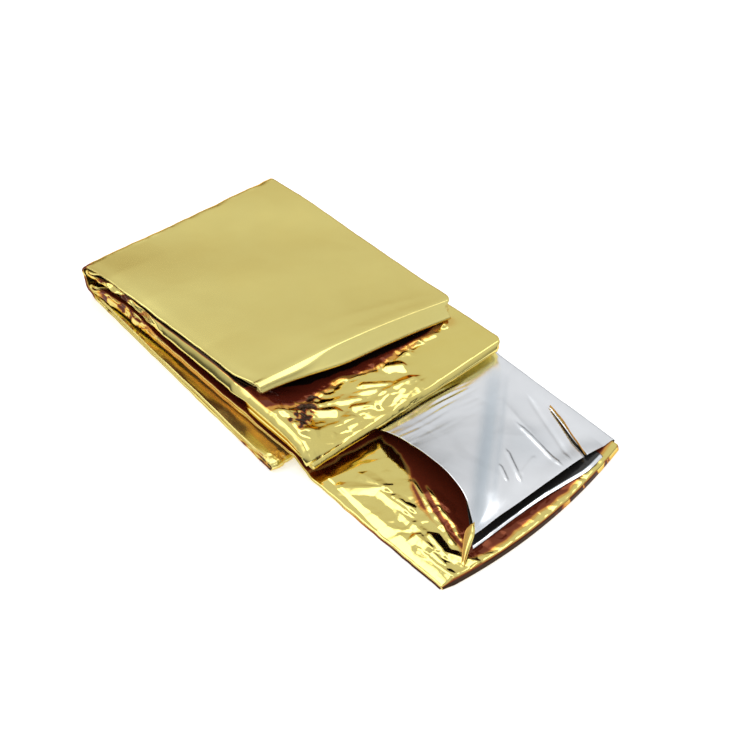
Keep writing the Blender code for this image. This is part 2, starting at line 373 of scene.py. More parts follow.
class Nodes:
    """A small helper that wires up a node tree."""

    def __init__(self, tree: bpy.types.NodeTree) -> None:
        """Keeps the tree to wire up.

        Args:
            tree: A material's or world's node tree.
        """
        self.tree = tree

    def add(self, kind: str, inputs: dict | None = None, **settings: object) -> bpy.types.Node:
        """A new node.

        Args:
            kind: Its type.
            inputs: Its sockets' values, or the sockets that feed them.
            **settings: Its properties.

        Returns:
            The node.
        """
        node = self.tree.nodes.new(kind)
        for name, value in settings.items():
            setattr(node, name, value)
        for name, value in (inputs or {}).items():
            self.feed(node, name, value)
        return node

    def feed(self, node: bpy.types.Node, name: str | int, value: object) -> None:
        """Sets a socket's value, or links the socket that feeds it.

        Args:
            node: The node.
            name: Of the socket, or its number.
            value: A value, or the socket that feeds it.
        """
        if isinstance(value, bpy.types.NodeSocket):
            self.tree.links.new(value, node.inputs[name])
        else:
            node.inputs[name].default_value = value

    def math(self, operation: str, *values: object) -> bpy.types.NodeSocket:
        """The result of a Math node."""
        node = self.add("ShaderNodeMath", dict(enumerate(values)), operation=operation)
        return node.outputs[0]

    def noise(
        self, place: bpy.types.NodeSocket, scale: float, detail: float, roughness: float = 0.5
    ) -> bpy.types.NodeSocket:
        """Noise of that scale at a place."""
        inputs = {"Vector": place, "Scale": scale, "Detail": detail, "Roughness": roughness}
        return self.add("ShaderNodeTexNoise", inputs).outputs["Fac"]

    def ranged(
        self, value: bpy.types.NodeSocket, start: Pair, end: Pair, **settings: object
    ) -> bpy.types.NodeSocket:
        """A value moved from a start range to an end range, and held within it.

        Args:
            value: The value.
            start: The range that it has.
            end: The range that it gets.
            **settings: The node's properties.

        Returns:
            The new value.
        """
        names = ("From Min", "From Max", "To Min", "To Max")
        inputs = {"Value": value, **dict(zip(names, (*start, *end)))}
        return self.add("ShaderNodeMapRange", inputs, **settings).outputs["Result"]

    def dot(self, value: bpy.types.NodeSocket, axis: Vector) -> bpy.types.NodeSocket:
        """The length of a direction along an axis."""
        node = self.add("ShaderNodeVectorMath", {0: value, 1: axis}, operation="DOT_PRODUCT")
        return node.outputs["Value"]

    def ramp(
        self, factor: bpy.types.NodeSocket, stops: tuple[tuple[float, Triple], ...]
    ) -> bpy.types.NodeSocket:
        """A colour ramp through stops of place and colour.

        Args:
            factor: Where on the ramp it is read.
            stops: Its places and colours, in order.

        Returns:
            The colour.
        """
        node = self.add("ShaderNodeValToRGB", {"Fac": factor})
        elements = node.color_ramp.elements
        while len(elements) < len(stops):
            elements.new(0.5)
        for element, (place, colour) in zip(elements, stops):
            element.position = place
            element.color = (*colour, 1.0)
        return node.outputs["Color"]


# Name of the mesh attribute that carries painted shade, from 0 to 1, which the films read.
PAINTED_SHADE = "painted_shade"


@dataclass(frozen=True)
class Film:
    """Metallised film, seen from one side.

    Attributes:
        name: Of its material.
        colour: Where it is cleanest.
        rubbed: Where it has been handled.
        roughness: At its smoothest and its roughest.
        grain: Height of the fine wrinkles left by folding, in metres.
        edge: Tint at a grazing angle, where the lacquer is seen through its length.
        painted_shades: Its colour under painted shade, light to full, where the folds mirror only
            the film.
        metal: How metallic it is out of the painted shade and deep in it.
        metal_painted_shade: The levels of painted shade between which that changes.
        patches: Scale of the rubbed patches, and the noise at which they begin and are full.
        smears: Scale of the rougher smears, and their noise likewise.
        wrinkles: Scale of the wrinkles, and wrinkle_shape how they are stretched each way.
        cells: Scale of the cell borders, how wide they are, and how deep beside the wrinkles.
        bump: Strength of the bump.
    """

    name: str
    colour: Triple
    rubbed: Triple
    roughness: Pair
    grain: float
    edge: Triple
    painted_shades: tuple[tuple[float, Triple], ...]
    metal: Pair = (1.0, 0.3)
    metal_painted_shade: Pair = (0.08, 0.6)
    patches: Triple = (38.0, 0.35, 0.68)
    smears: Triple = (90.0, 0.35, 0.7)
    wrinkles: float = 420.0
    wrinkle_shape: Triple = (1.0, 0.45, 1.0)
    cells: Triple = (150.0, 0.12, 1.5)
    bump: float = 0.5

    def material(self) -> bpy.types.Material:
        """The film's material: a mirror that varies a little in colour and in roughness.

        Its fine wrinkles are a bump of stretched noise and of cell borders, on Object
        coordinates. It is darker and less metallic where shade is painted.

        Returns:
            The material.
        """
        material = bpy.data.materials.new(self.name)
        material.use_nodes = True
        nodes = Nodes(material.node_tree)
        place = nodes.add("ShaderNodeTexCoord").outputs["Object"]
        painted_shade = nodes.add("ShaderNodeAttribute", attribute_name=PAINTED_SHADE).outputs["Fac"]
        smear_scale, *smear_range = self.smears
        smeared = nodes.noise(place, smear_scale, 4.0)
        inputs = {
            "Base Color": self.tint(nodes, place, painted_shade),
            "Roughness": nodes.ranged(smeared, smear_range, self.roughness),
            "Normal": self.wrinkled(nodes, place),
            "Metallic": nodes.ranged(painted_shade, self.metal_painted_shade, self.metal),
            "Specular Tint": (*self.edge, 1.0),
        }
        for name, value in inputs.items():
            nodes.feed(material.node_tree.nodes["Principled BSDF"], name, value)
        return material

    def tint(
        self, nodes: Nodes, place: bpy.types.NodeSocket, painted_shade: bpy.types.NodeSocket
    ) -> bpy.types.NodeSocket:
        """Its colour: clean or rubbed in the open, and that of the painted shade in the folds.

        Args:
            nodes: The material's nodes.
            place: Object coordinates.
            painted_shade: The painted shade in the folds.

        Returns:
            The colour.
        """
        scale, start, full = self.patches
        broad = nodes.noise(place, scale, 3.0, 0.6)
        clean = nodes.ramp(broad, ((start, self.colour), (full, self.rubbed)))
        share = nodes.math("MINIMUM", nodes.math("DIVIDE", painted_shade, self.painted_shades[0][0]), 1.0)
        inputs = {0: share, 6: clean, 7: nodes.ramp(painted_shade, self.painted_shades)}
        return nodes.add("ShaderNodeMix", inputs, data_type="RGBA").outputs[2]

    def wrinkled(self, nodes: Nodes, place: bpy.types.NodeSocket) -> bpy.types.NodeSocket:
        """Its bumped normal.

        Args:
            nodes: The material's nodes.
            place: Object coordinates.

        Returns:
            The normal.
        """
        stretched = nodes.add(
            "ShaderNodeMapping", {"Vector": place, "Scale": self.wrinkle_shape}
        ).outputs["Vector"]
        fine = nodes.noise(stretched, self.wrinkles, 3.0)
        scale, width, share = self.cells
        inputs = {"Vector": place, "Scale": scale}
        cells = nodes.add("ShaderNodeTexVoronoi", inputs, feature="DISTANCE_TO_EDGE")
        line = nodes.math("MINIMUM", cells.outputs["Distance"], width)
        height = nodes.math("ADD", fine, nodes.math("MULTIPLY", line, share))
        inputs = {"Height": height, "Strength": self.bump, "Distance": self.grain}
        return nodes.add("ShaderNodeBump", inputs).outputs["Normal"]


# Colours of the painted shade, from light to full: the dark that the folds would mirror, painted
# into the film's colour.
GOLD_PAINTED_SHADES = (
    (0.16, (0.70, 0.49, 0.14)),
    (0.36, (0.68, 0.34, 0.07)),
    (0.60, (0.26, 0.055, 0.02)),
    (0.82, (0.13, 0.018, 0.009)),
    (1.0, (0.012, 0.006, 0.005)),
)
SILVER_PAINTED_SHADES = (
    (0.30, (0.52, 0.59, 0.65)),
    (0.60, (0.12, 0.12, 0.12)),
    (1.0, (0.012, 0.012, 0.012)),
)
LACQUER_EDGE = (0.95, 0.5, 0.2)

GOLD = Film(
    "gold_film",
    colour=(0.77, 0.665, 0.225),
    rubbed=(0.75, 0.635, 0.20),
    roughness=(0.07, 0.13),
    grain=0.00002,
    edge=LACQUER_EDGE,
    painted_shades=GOLD_PAINTED_SHADES,
)
SMOOTH_GOLD = Film(
    "smooth_gold_film",
    colour=(0.77, 0.68, 0.25),
    rubbed=(0.76, 0.66, 0.235),
    roughness=(0.2, 0.26),
    grain=0.000012,
    edge=LACQUER_EDGE,
    painted_shades=GOLD_PAINTED_SHADES,
)
SILVER = Film(
    "silver_film",
    colour=(0.87, 0.89, 0.92),
    rubbed=(0.83, 0.855, 0.89),
    roughness=(0.17, 0.26),
    grain=0.00002,
    edge=(0.9, 0.9, 0.9),
    painted_shades=SILVER_PAINTED_SHADES,
)


def placed(name: str, data: bpy.types.ID) -> bpy.types.Object:
    """A new object in the scene.

    Args:
        name: Of the object.
        data: Its mesh or camera.

    Returns:
        The object.
    """
    made = bpy.data.objects.new(name, data)
    bpy.context.scene.collection.objects.link(made)
    return made


class Dresser:
    """Makes meshes and gives them their finish, body and slot."""

    def __init__(self) -> None:
        """Makes each finish once."""
        self.gold = GOLD.material()
        self.smooth_gold = SMOOTH_GOLD.material()
        self.silver = SILVER.material()

    def mesh(
        self, name: str, points: Array, faces: list, painted_shade: Array, flat_faces: int = 0
    ) -> bpy.types.Object:
        """An object with that mesh, in the scene, smooth but for its last faces.

        Args:
            name: Of the object.
            points: Vertices in strip millimetres.
            faces: Their indices, face by face.
            painted_shade: Painted shade at each vertex, from 0 to 1, for how deep in the folds it
                lies.
            flat_faces: How many of the last faces are flat, such as end caps.

        Returns:
            The object.
        """
        data = bpy.data.meshes.new(name)
        data.from_pydata((points.reshape(-1, 3) - ORIGIN) * METRE, [], faces)
        shade = np.ones(len(faces), dtype=bool)
        if flat_faces:
            shade[-flat_faces:] = False
        data.polygons.foreach_set("use_smooth", shade)
        data.attributes.new(PAINTED_SHADE, "FLOAT", "POINT").data.foreach_set("value", painted_shade.ravel())
        data.update()
        return placed(name, data)

    def thicken(self, piece: bpy.types.Object, film: float, two_faced: bool) -> None:
        """Gives a single ply its thickness, half to either side.

        Args:
            piece: The ply.
            film: Its thickness in millimetres.
            two_faced: Whether its underside takes its second material.
        """
        solid = piece.modifiers.new("film", "SOLIDIFY")
        solid.thickness = film * METRE
        solid.offset = 0.0
        solid.material_offset = int(two_faced)
        solid.material_offset_rim = 0

    def finish(
        self,
        piece: bpy.types.Object,
        materials: tuple[bpy.types.Material, ...],
    ) -> None:
        """Args:
            piece: The object.
            materials: Its material slots in order.
        """
        for material in materials:
            piece.data.materials.append(material)
        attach(piece, BODY)
        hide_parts(NODE)
        LOG.info("%s: %d faces", piece.name, len(piece.data.polygons))


# ---------------- relief and shade, by layer

# Facets and waves of the film.
TOP_FACETS = Crumple(16.0, 0.003, 11, 1.6, 0.5)
WRAP_FACETS = Crumple(6.0, 0.12, 41, 1.5, 1.4)
SECOND_FACETS = Crumple(14.0, 0.03, 21, 1.9, 1.3)
END_FACETS = Crumple(17.0, 0.03, 31, 1.9, 0.3)
RAGGED_FACETS = Crumple(5.0, 0.055, 97, 1.9, 1.2)
CRINKLE = Crumple(3.4, 0.22, 94, 1.3, 0.5)
RIM_FACETS = Crumple(5.0, 0.14, 95, 1.8, 1.4)
BASE_FACETS = Crumple(9.0, 0.05, 51, 2.2, 0.0)
BASE_CORNER_FACETS = Crumple(3.5, 0.16, 52, 1.0, 0.3)
EDGE_DENTS = Crumple(4.5, 0.2, 98, 1.4, 0.7)

# Noise that breaks up the painted shade's borders and strews dark bits of painted shade.
TORN = Crumple(9.0, 0.2, 91, 1.4, 0.9, 3)
FINELY_TORN = Crumple(2.6, 0.5, 93, 1.5, 0.9)
END_FLECKS = Crumple(4.5, 0.3, 99, 1.3, 0.9)
WRAP_BITS = Crumple(5.0, 0.25, 92, 1.5, 1.0)
EDGE_BITS = Crumple(3.6, 0.3, 96, 1.6, 0.7)

# Soft creases of the top pad.
TOP_CREASES = (
    Crease((66, 94), (112, 62), -0.22, 7.0),
    Crease((60, 70), (108, 46), -0.14, 6.0),
    Crease((84, 99), (116, 82), 0.14, 5.0),
    Crease((111, 8), (114, 52), 0.10, 2.2),
    Crease((106, 40), (112, 96), -0.06, 2.0),
    Crease((98, 30), (106, 90), 0.05, 2.5),
    Crease((100, 56), (111, 100), 0.07, 1.6, 1.4),
)

# Creases of the second pad: drawn ones, long ones near its front and knobs under the lip.
SECOND_CREASING = Creasing(
    9, (127, 2), (150, 74), (10, 26), (2.4, 4.2), (0.26, 0.36), 1.38, 0.3, 22
)
SECOND_CREASES = folded(
    ((146, -2), (148, 30), 0.95, 3.0),
    ((147, 24), (145, 60), 0.8, 2.6),
    ((122, 4), (140, 38), 0.6, 2.8),
    ((134, 34), (146, 58), 0.5, 2.4),
)
SECOND_KNOBS = folded(((120, 98), (126, 92), 1.2, 2.4), ((124, 70), (127, 90), 0.5, 2.2))

# Creases of the end panel, drawn and placed, and two sharp ridges beside the arch.
END_CREASING = Creasing(
    11, (164, -4), (234, 22), (14, 34), (2.6, 4.6), (0.26, 0.38), 0.1, 0.26, 32
)
END_CREASES = folded(
    ((166, 9), (204, 8), 0.9, 3.2),
    ((190, 6), (238, 3), 0.6, 2.6),
    ((160, -6), (167, 26), 0.6, 3.0),
    ((172, 20), (182, 12), 0.7, 2.8),
) + (
    Crease((184, 23), (226, 8.5), 0.6, 0.9, 1.4),
    Crease((190, 24), (224, 13), 0.55, 0.8, 1.4),
)

# The swelling behind the second pad's front, and the span along the strip where it stands.
SWELLING = 1.15
SWOLLEN = (118.0, 142.5, 143.5, 149.5)

# The span across the strip over which the end panel's front rim is crumpled, and how far back.
RIM_SPAN = (18.0, 30.0, 82.0, 94.0)
RIM_MIDDLE, RIM_WIDTH = 3.0, 3.5

# On the second pad, by y: where the painted shade and the painted black under the top pad's lip
# end. The pool is a crushed patch, painted dark as shade, that runs from that shade to the near
# edge.
LIP_SHADE = (
    (-6, 4, 10, 16, 27, 37, 47, 57, 72, 89, 97),
    (128, 127, 126, 125, 124.4, 124.4, 125.4, 127, 126.5, 125, 123.5),
)
LIP_PAINTED_BLACK = (
    (8, 20, 25.7, 34.8, 47, 58.4, 69.9, 85.9, 95),
    (110, 115.0, 117.6, 119.4, 120.7, 122.6, 124.0, 123.8, 121.5),
)
POOL = Crease((144, -10), (124, 25), 1.0, 4.6)
# Where a knob stands out of the lip's shade, which is painted only as a hint there.
KNOB_PLACE = (123.5, 96.5)
# Middle of the dark bits of painted shade at the base fold's near corner.
BASE_CORNER_SHADE = (139.0, -14.0)

# On the end panel, by x: where the painted shade under the arch begins, and streaks left unpainted
# in it.
ARCH_SHADE = (
    (150, 160, 170, 178, 185, 192, 200, 212, 222, 232),
    (34, 30, 27.5, 24, 20, 16, 13, 11, 9.5, 7),
)
ARCH_STREAKS = tuple(
    Crease(start, end, height, width, 3.0)
    for start, end, height, width in (
        ((183, 24), (213, 11), 1.5, 0.9),
        ((205, 15), (227, 8), 1.5, 0.8),
        ((190, 25), (212, 16), 1.4, 0.7),
        ((206, 19), (226, 12.5), 1.3, 0.6),
    )
)

# Levels of painted shade: a hint, brown in a fold, and between plies that lie on each other.
FAINT_SHADE, BROWN_SHADE, COVERED_SHADE = 0.12, 0.7, 0.75

# Where layers lie under the top pad, along the strip, and how that fades at either end.
UNDER_TOP = (34.0, 60.0, 104.0, 112.0)
# Where the painted shade in the folds begins, along the strip.
FOLD_DEEP = (24.0, 50.0)


# ---------------- the folded strip


class Layer(IntEnum):
    """The strip's layers and folds in its order; the noise on their near edges goes by number."""

    BASE = 0
    BASE_UNDER = 10
    WRAP = 11
    TOP = 1
    TOP_FRONT = 12
    TOP_UNDER = 2
    INNER_UPPER = 13
    SECOND = 3
    SECOND_FRONT = 14
    SECOND_UNDER = 4
    INNER_LOWER = 15
    LAST = 5
    CLOSING = 16


@dataclass(frozen=True)
class Fold:
    """A fold line, or an end, of the strip.

    Attributes:
        x: At the near edge, at MID_SHARE of the width and at the far edge.
        y: Of the near edge and of the far edge.
        arrive: Height of the layer that arrives, at the near and at the far edge.
        leave: Height of the layer that leaves, likewise.
        corner: Radius of its far corner.
    """

    x: Triple
    y: Pair
    arrive: Pair
    leave: Pair
    corner: float = 0.0


@dataclass
class Row:
    """A row of points across a layer while the layer is shaped.

    Attributes:
        v: Their shares of the width.
        x: Their places along the strip.
        near: y of the near edge.
        far: y of the far edge.
        z: Their middle heights.
        thick: The layer's thickness at each.
    """

    v: Array
    x: Array
    near: Array | float
    far: Array | float
    z: Array
    thick: Array

    def edge(self, width: float) -> Array:
        """1 at the near edge, falling inwards over about that width."""
        return bell(self.v * (self.far - self.near), width)

    def y(self) -> Array:
        """Places of its points across the strip."""
        return between(self.near, self.far, self.v)


MID_SHARE = 0.45
STRIP_WIDTH = 104.0

# Sections of a front fold, as (out, up) from the layer above to the layer below. The blunt one
# has a flat facet on its crest above a steep face, and the wide one slopes out to a sharp lip.
BLUNT_FRONT = np.array(
    [(0, 1), (0.58, 1.0), (0.78, 0.975), (1.92, 0.585), (2.06, 0.46), (2.28, 0.08), (2.52, -0.28)]
    + [(2.66, -0.48), (2.70, -0.62), (2.55, -0.78), (1.90, -0.92), (0.95, -0.98), (0, -1)],
    float,
)
WIDE_FRONT = np.array(
    [(0, 1), (0.25, 1.0), (0.50, 0.98), (0.60, 0.92), (1.0, 0.66), (1.45, 0.34), (1.9, 0.03)]
    + [(2.35, -0.28), (2.66, -0.54), (2.74, -0.72), (2.45, -0.84), (1.20, -0.93), (0, -1)],
    float,
)
UPRIGHT_FRONT = np.array(
    [(0, 1), (0.28, 0.95), (0.56, 0.76), (0.82, 0.50), (1.05, 0.24), (1.22, 0.0), (1.30, -0.20)]
    + [(1.33, -0.45), (1.28, -0.68), (0.85, -0.90), (0, -1)],
    float,
)
SECTION_BLEND = (0.16, 0.44)


@dataclass
class Strip:
    """The whole strip of pressed plies, from its tucked end under the stack to its open end.

    A profile gives a height by place along the strip, and a span the places between which
    something fades in and out.
    """

    layer: float = 1.4
    columns: int = 181
    crowding: float = 1.25
    under_every: int = 4
    lobe_points: int = 11
    lobes: float = 2.0
    lobe_reach: float = 0.32

    tucked_end: Fold = Fold((5, 5, 5), (1.5, 104), (2.6, 2.6), (2.6, 2.6))
    base_front: Fold = Fold((140.5, 137, 132.5), (-14, 91), (2.6, 2.6), (0.7, 0.7))
    left_wrap: Fold = Fold((8, 8, 8), (1, 104.5), (0.7, 0.7), (14.8, 12.6))
    top_front: Fold = Fold((112.6, 113.0, 116.8), (-0.8, 103.2), (20.2, 15.2), (14.2, 10.4), 5.0)
    inner_upper: Fold = Fold((0.2, 0.2, 0.2), (1.5, 104), (12.8, 10.8), (11.0, 8.6))
    second_front: Fold = Fold((155, 151.2, 146.5), (-5, 105.3), (7.9, 8.6), (5.8, 5.8), 4.0)
    inner_lower: Fold = Fold((2.4, 2.4, 2.4), (1.5, 104), (6.4, 6.4), (4.5, 4.5))
    open_end: Fold = Fold((237.6, 236.2, 221.6), (-9.2, 99), (0.7, 0.7), (0.7, 0.7))

    # The left wrap, and how the last layer drops from the base fold and tapers to the open end.
    wrap_head: float = 0.0
    wrap_bulge: float = 6.0
    drop_after: float = 2.6
    drop_run: float = 14.0
    taper_power: float = 2.2
    closing_rows: int = 5
    closing_share: float = 0.04

    # How far high layers waver up and down and sideways, and how ragged the side edges are.
    waver_up: float = 0.45
    waver_above: Pair = (3.3, 10.0)
    waver_aside: float = 0.35
    waver_aside_above: float = 1.9
    ragged: Pair = (0.1, 0.04)
    ragged_width: float = 3.0

    # The top pad's near edge: its bends, where it thins and where its corner is tucked in. Its
    # underside is lifted to the front lip, and near the edge to just under the top layer.
    top_bend: Profile = (
        (0.0, 15.0, 38.0, 52.0, 66.0, 80.0, 94.0, 112.6),
        (0.0, 1.2, 1.5, 0.8, 0.3, -0.4, -0.1, 0.0),
    )
    top_bend_width: float = 25.0
    top_thin: Pair = (0.7, 4.0)
    corner_tuck: float = 2.4
    corner_tuck_from: float = 101.0
    lip_rise: float = 3.0
    lip_rise_until: float = 0.5
    lip_rise_along: Pair = (80.0, 112.0)
    under_thin: Pair = (0.5, 6.5)
    under_lifted: Span = (1.0, 8.0, 100.0, 112.0)
    under_gap: float = 1.1
    under_set_in: Triple = (0.8, 4.0, 14.0)

    # The second pad's near edge: its rise, and what it gains in thickness below and above.
    prop: Profile = (
        (0.0, 15.0, 38.0, 52.0, 66.0, 80.0, 94.0, 112.0, 128.0, 138.0, 148.0, 152.5, 155.0),
        (0.0, 3.6, 5.5, 5.7, 6.1, 6.5, 7.2, 7.6, 6.8, 5.9, 4.7, 3.0, 0.4),
    )
    prop_width: float = 12.0
    deeper: Profile = (
        (0.0, 20.0, 52.0, 66.0, 94.0, 114.0, 150.0),
        (0.0, 0.3, 0.7, 0.8, 1.1, 1.4, 1.0),
    )
    higher: Profile = (
        (0.0, 38.0, 52.0, 66.0, 80.0, 94.0, 106.0, 114.0),
        (0.0, 0.3, 0.8, 1.2, 1.6, 1.8, 1.2, 0.2),
    )
    gain_width: float = 4.0
    second_set_in: float = 1.0
    second_set_in_span: Span = (104.0, 112.0, 146.0, 158.0)

    # Its underside, which is tucked in under the top pad and thick in front of it.
    tuck: float = 8.0
    tuck_span: Span = (4.0, 13.0, 103.0, 112.0)
    hem: Profile = ((112.0, 140.0, 152.0), (4.4, 3.2, 0.2))
    hem_width: float = 7.0
    hem_from: Pair = (104.0, 113.0)

    # The last layer's near edge under the stack: its lift, a heap in the middle and the stack of
    # plies at the left. In the open it rises a little and falls off over its near shoulder.
    last_width: float = 5.0
    last_until: Pair = (160.0, 150.0)
    lifted: float = 0.9
    lifted_from: Pair = (10.0, 40.0)
    heap: float = 0.7
    heap_thick: float = 1.6
    heap_until: Pair = (126.0, 108.0)
    stack: float = 3.6
    stack_span: Span = (3.0, 12.0, 22.0, 62.0)
    near_raise: Triple = (1.5, 150.0, 208.0)
    far_raise: Triple = (1.2, 176.0, 226.0)
    raise_across: Pair = (20.0, 60.0)
    shoulder: float = 5.0
    shoulder_slope: float = 0.34

    def __post_init__(self) -> None:
        """Sets the shares of the width at which points lie, closer together on the near side."""
        self.v = np.linspace(0.0, 1.0, self.columns) ** self.crowding
        self.rows: list[tuple[Array, Layer]] = []

    def line_x(self, line: Fold, v: Array | float) -> Array:
        """x of a fold line at a share v of the width: a quadratic through its three places.

        Args:
            line: The fold line.
            v: Shares of the width.

        Returns:
            x at each.
        """
        m = MID_SHARE
        near, mid, far = line.x
        return (
            near * (v - m) * (v - 1) / m
            + mid * v * (v - 1) / (m * (m - 1))
            + far * v * (v - m) / (1 - m)
        )

    def inset(self, line: Fold, back: float) -> float:
        """How far the far edge draws in, at that distance behind the fold's foremost line."""
        reach = max(line.corner - back, 0.0)
        return line.corner - np.sqrt(line.corner**2 - reach**2)

    def half_gap(self, line: Fold) -> float:
        """Half the height between a fold's layers at the far edge."""
        return abs(line.arrive[1] - line.leave[1]) / 2

    def last_edges(self, x: Array | float) -> tuple[Array, Array]:
        """y of the last layer's near and far edges; the far one tapers in to the open end.

        Args:
            x: Places along the strip.

        Returns:
            y of the near edge and of the far edge at each.
        """
        back, front = self.inner_lower, self.open_end
        share = np.clip((x - back.x[0]) / (front.x[0] - back.x[0]), 0.0, 1.0)
        near = between(back.y[0], front.y[0], share)
        return near, between(back.y[1], front.y[1], share**self.taper_power)

    def last_z(self, x: Array | float, v: Array | float) -> Array:
        """Middle height of the last layer, on the base fold and then on the ground.

        Args:
            x: Places along the strip.
            v: Shares of the width.

        Returns:
            Heights, which drop smoothly over drop_run past the base fold.
        """
        start = self.line_x(self.base_front, v) + self.drop_after
        share = smooth((x - start) / self.drop_run)
        return between(self.inner_lower.leave[0], self.open_end.arrive[0], share)

    def add(self, x: Array, y: Array, z: Array, u: Array, thick: Array | float, tag: Layer) -> None:
        """Adds a row of points across the strip.

        Args:
            x: Their places along the strip.
            y: Their places across it.
            z: Their middle heights.
            u: Their way along the film, which goes on round the folds.
            thick: The layer's thickness at each.
            tag: Its layer.
        """
        parts = [np.broadcast_to(part, self.v.shape) for part in (x, y, z, u, thick)]
        self.rows.append((np.stack(parts, axis=1), tag))

    def run(self, start: Fold, end: Fold, places: Array, tag: Layer) -> None:
        """Adds the rows of a layer between two fold lines.

        x, y and z go evenly from one line to the other, and the layer's own rules bend them.

        Args:
            start: The line that the layer leaves.
            end: The line at which it arrives.
            places: Shares of the way at which rows lie.
            tag: The layer.
        """
        v = self.v
        shapes = {
            Layer.TOP: self.shape_top,
            Layer.TOP_UNDER: self.shape_top_under,
            Layer.SECOND: self.shape_second,
            Layer.SECOND_UNDER: self.shape_second_under,
            Layer.LAST: self.shape_last,
        }
        length = abs(end.x[0] - start.x[0])
        for share in places:
            x = between(self.line_x(start, v), self.line_x(end, v), share)
            z = between(between(*start.leave, v), between(*end.arrive, v), share)
            near = between(start.y[0], end.y[0], share)
            far = between(start.y[1], end.y[1], share)
            for line, apart in ((start, share * length), (end, (1 - share) * length)):
                if line.corner:
                    far -= self.inset(line, apart + self.half_gap(line))
            row = Row(v, x, near, far, z, np.full_like(v, self.layer))
            if tag in shapes:
                shapes[tag](row)
            self.add(row.x, row.y(), row.z, row.x, row.thick, tag)

    def tuck_corner(self, row: Row) -> None:
        """Tucks in the near edge of the top pad towards its front corner."""
        start, end = self.corner_tuck_from, self.top_front.x[0]
        row.near += self.corner_tuck * step(row.x, start, end)

    def shape_top(self, row: Row) -> None:
        """The top layer thins to its near edge, which bends up and down along the strip.

        Args:
            row: The row to shape.
        """
        self.tuck_corner(row)
        row.thick -= self.top_thin[0] * row.edge(self.top_thin[1])
        row.z += np.interp(row.x, *self.top_bend) * row.edge(self.top_bend_width)

    def shape_top_under(self, row: Row) -> None:
        """The top pad's underside rises to the lip, and near its edge to the top layer.

        Args:
            row: The row to shape.
        """
        x = row.x
        self.tuck_corner(row)
        lip = step(self.v, self.lip_rise_until, 0.0) * step(x, *self.lip_rise_along)
        row.z += self.lip_rise * lip
        edge = row.edge(self.under_thin[1]) * step(x, *self.under_lifted[:2])
        over = between(self.left_wrap.leave[0], self.top_front.arrive[0], x / self.top_front.x[0])
        over += np.interp(x, *self.top_bend)
        row.thick -= self.under_thin[0] * edge
        lift = np.maximum(over - self.under_gap - row.z, 0.0)
        row.z += edge * step(x, *self.under_lifted[:1:-1]) * lift
        row.near += self.under_set_in[0] * step(x, *self.under_set_in[1:])

    def shape_second(self, row: Row) -> None:
        """The second pad's near edge is propped up and thicker, and shows more plies.

        Args:
            row: The row to shape.
        """
        x = row.x
        row.near += self.second_set_in * window(x, self.second_set_in_span)
        edge = row.edge(self.gain_width)
        deeper, higher = (edge * np.interp(x, *gain) for gain in (self.deeper, self.higher))
        row.thick += deeper + higher
        row.z += np.interp(x, *self.prop) * row.edge(self.prop_width)
        row.z += (higher - deeper) / 2

    def shape_second_under(self, row: Row) -> None:
        """The second pad's underside is tucked in under the top pad, and hemmed before it.

        Args:
            row: The row to shape.
        """
        x = row.x
        row.near += self.tuck * window(x, self.tuck_span)
        hem = np.interp(x, *self.hem) * row.edge(self.hem_width) * step(x, *self.hem_from)
        row.thick += hem
        row.z += hem

    def shape_last(self, row: Row) -> None:
        """The last layer lies on the base fold, drops to the ground and has a near shoulder.

        Args:
            row: The row to shape.
        """
        x = row.x
        edge = row.edge(self.last_width) * step(x, *self.last_until)
        beneath = edge * step(x, *self.lifted_from)
        heap = beneath * step(x, *self.heap_until)
        stacked = self.stack * edge * window(x, self.stack_span)
        row.near, row.far = self.last_edges(x)
        y = row.y()
        inner, outer = self.raise_across
        near_raise, *near_along = self.near_raise
        far_raise, *far_along = self.far_raise
        raised = near_raise * step(x, *near_along) * step(y, outer, inner)
        raised += far_raise * step(x, *far_along) * step(y, inner, outer)
        fallen = self.shoulder_slope * np.clip(self.shoulder - (y - y[0]), 0.0, None)
        fallen = np.minimum(fallen, raised)
        row.z = self.last_z(x, self.v) + self.lifted * beneath + self.heap * heap + stacked / 2
        row.z += (raised - fallen) / 2
        row.thick += raised - fallen + self.heap_thick * heap + stacked

    def front(self, line: Fold, near: Array, far: Array, count: int, tag: Layer) -> None:
        """Adds the rows round a front fold, whose section is drawn.

        The section goes through places (out, up): out as a share of its reach past the line, up
        from 1 at the layer that arrives to -1 at the layer that leaves. It changes evenly from
        the near section to the far one over the middle of the width.

        Args:
            line: The fold.
            near: The section at the near edge.
            far: The section at the far edge.
            count: How many rows.
            tag: The fold's own layer.
        """
        v = self.v
        x = self.line_x(line, v)
        arrive, leave = between(*line.arrive, v), between(*line.leave, v)
        near_y = line.y[0]
        if line is self.top_front:
            leave += self.lip_rise * step(v, self.lip_rise_until, 0.0)
            near_y += self.corner_tuck
        middle, half = (arrive + leave) / 2, (arrive - leave) / 2
        at = np.linspace(0.0, len(near) - 1.0, count + 2)[1:-1]
        share = step(v, *SECTION_BLEND)
        arc = np.zeros_like(v)
        last = (x, arrive)
        for one, two in zip(through(near, at), through(far, at)):
            out, up = (between(one[k], two[k], share) for k in (0, 1))
            back = self.half_gap(line) * (1 - np.clip(two[0], 0.0, 1.0))
            y = between(near_y, line.y[1] - self.inset(line, back), v)
            here = (x + out * half, middle + half * up)
            arc += np.hypot(here[0] - last[0], here[1] - last[1])
            last = here
            self.add(here[0], y, here[1], x + arc, self.layer, tag)

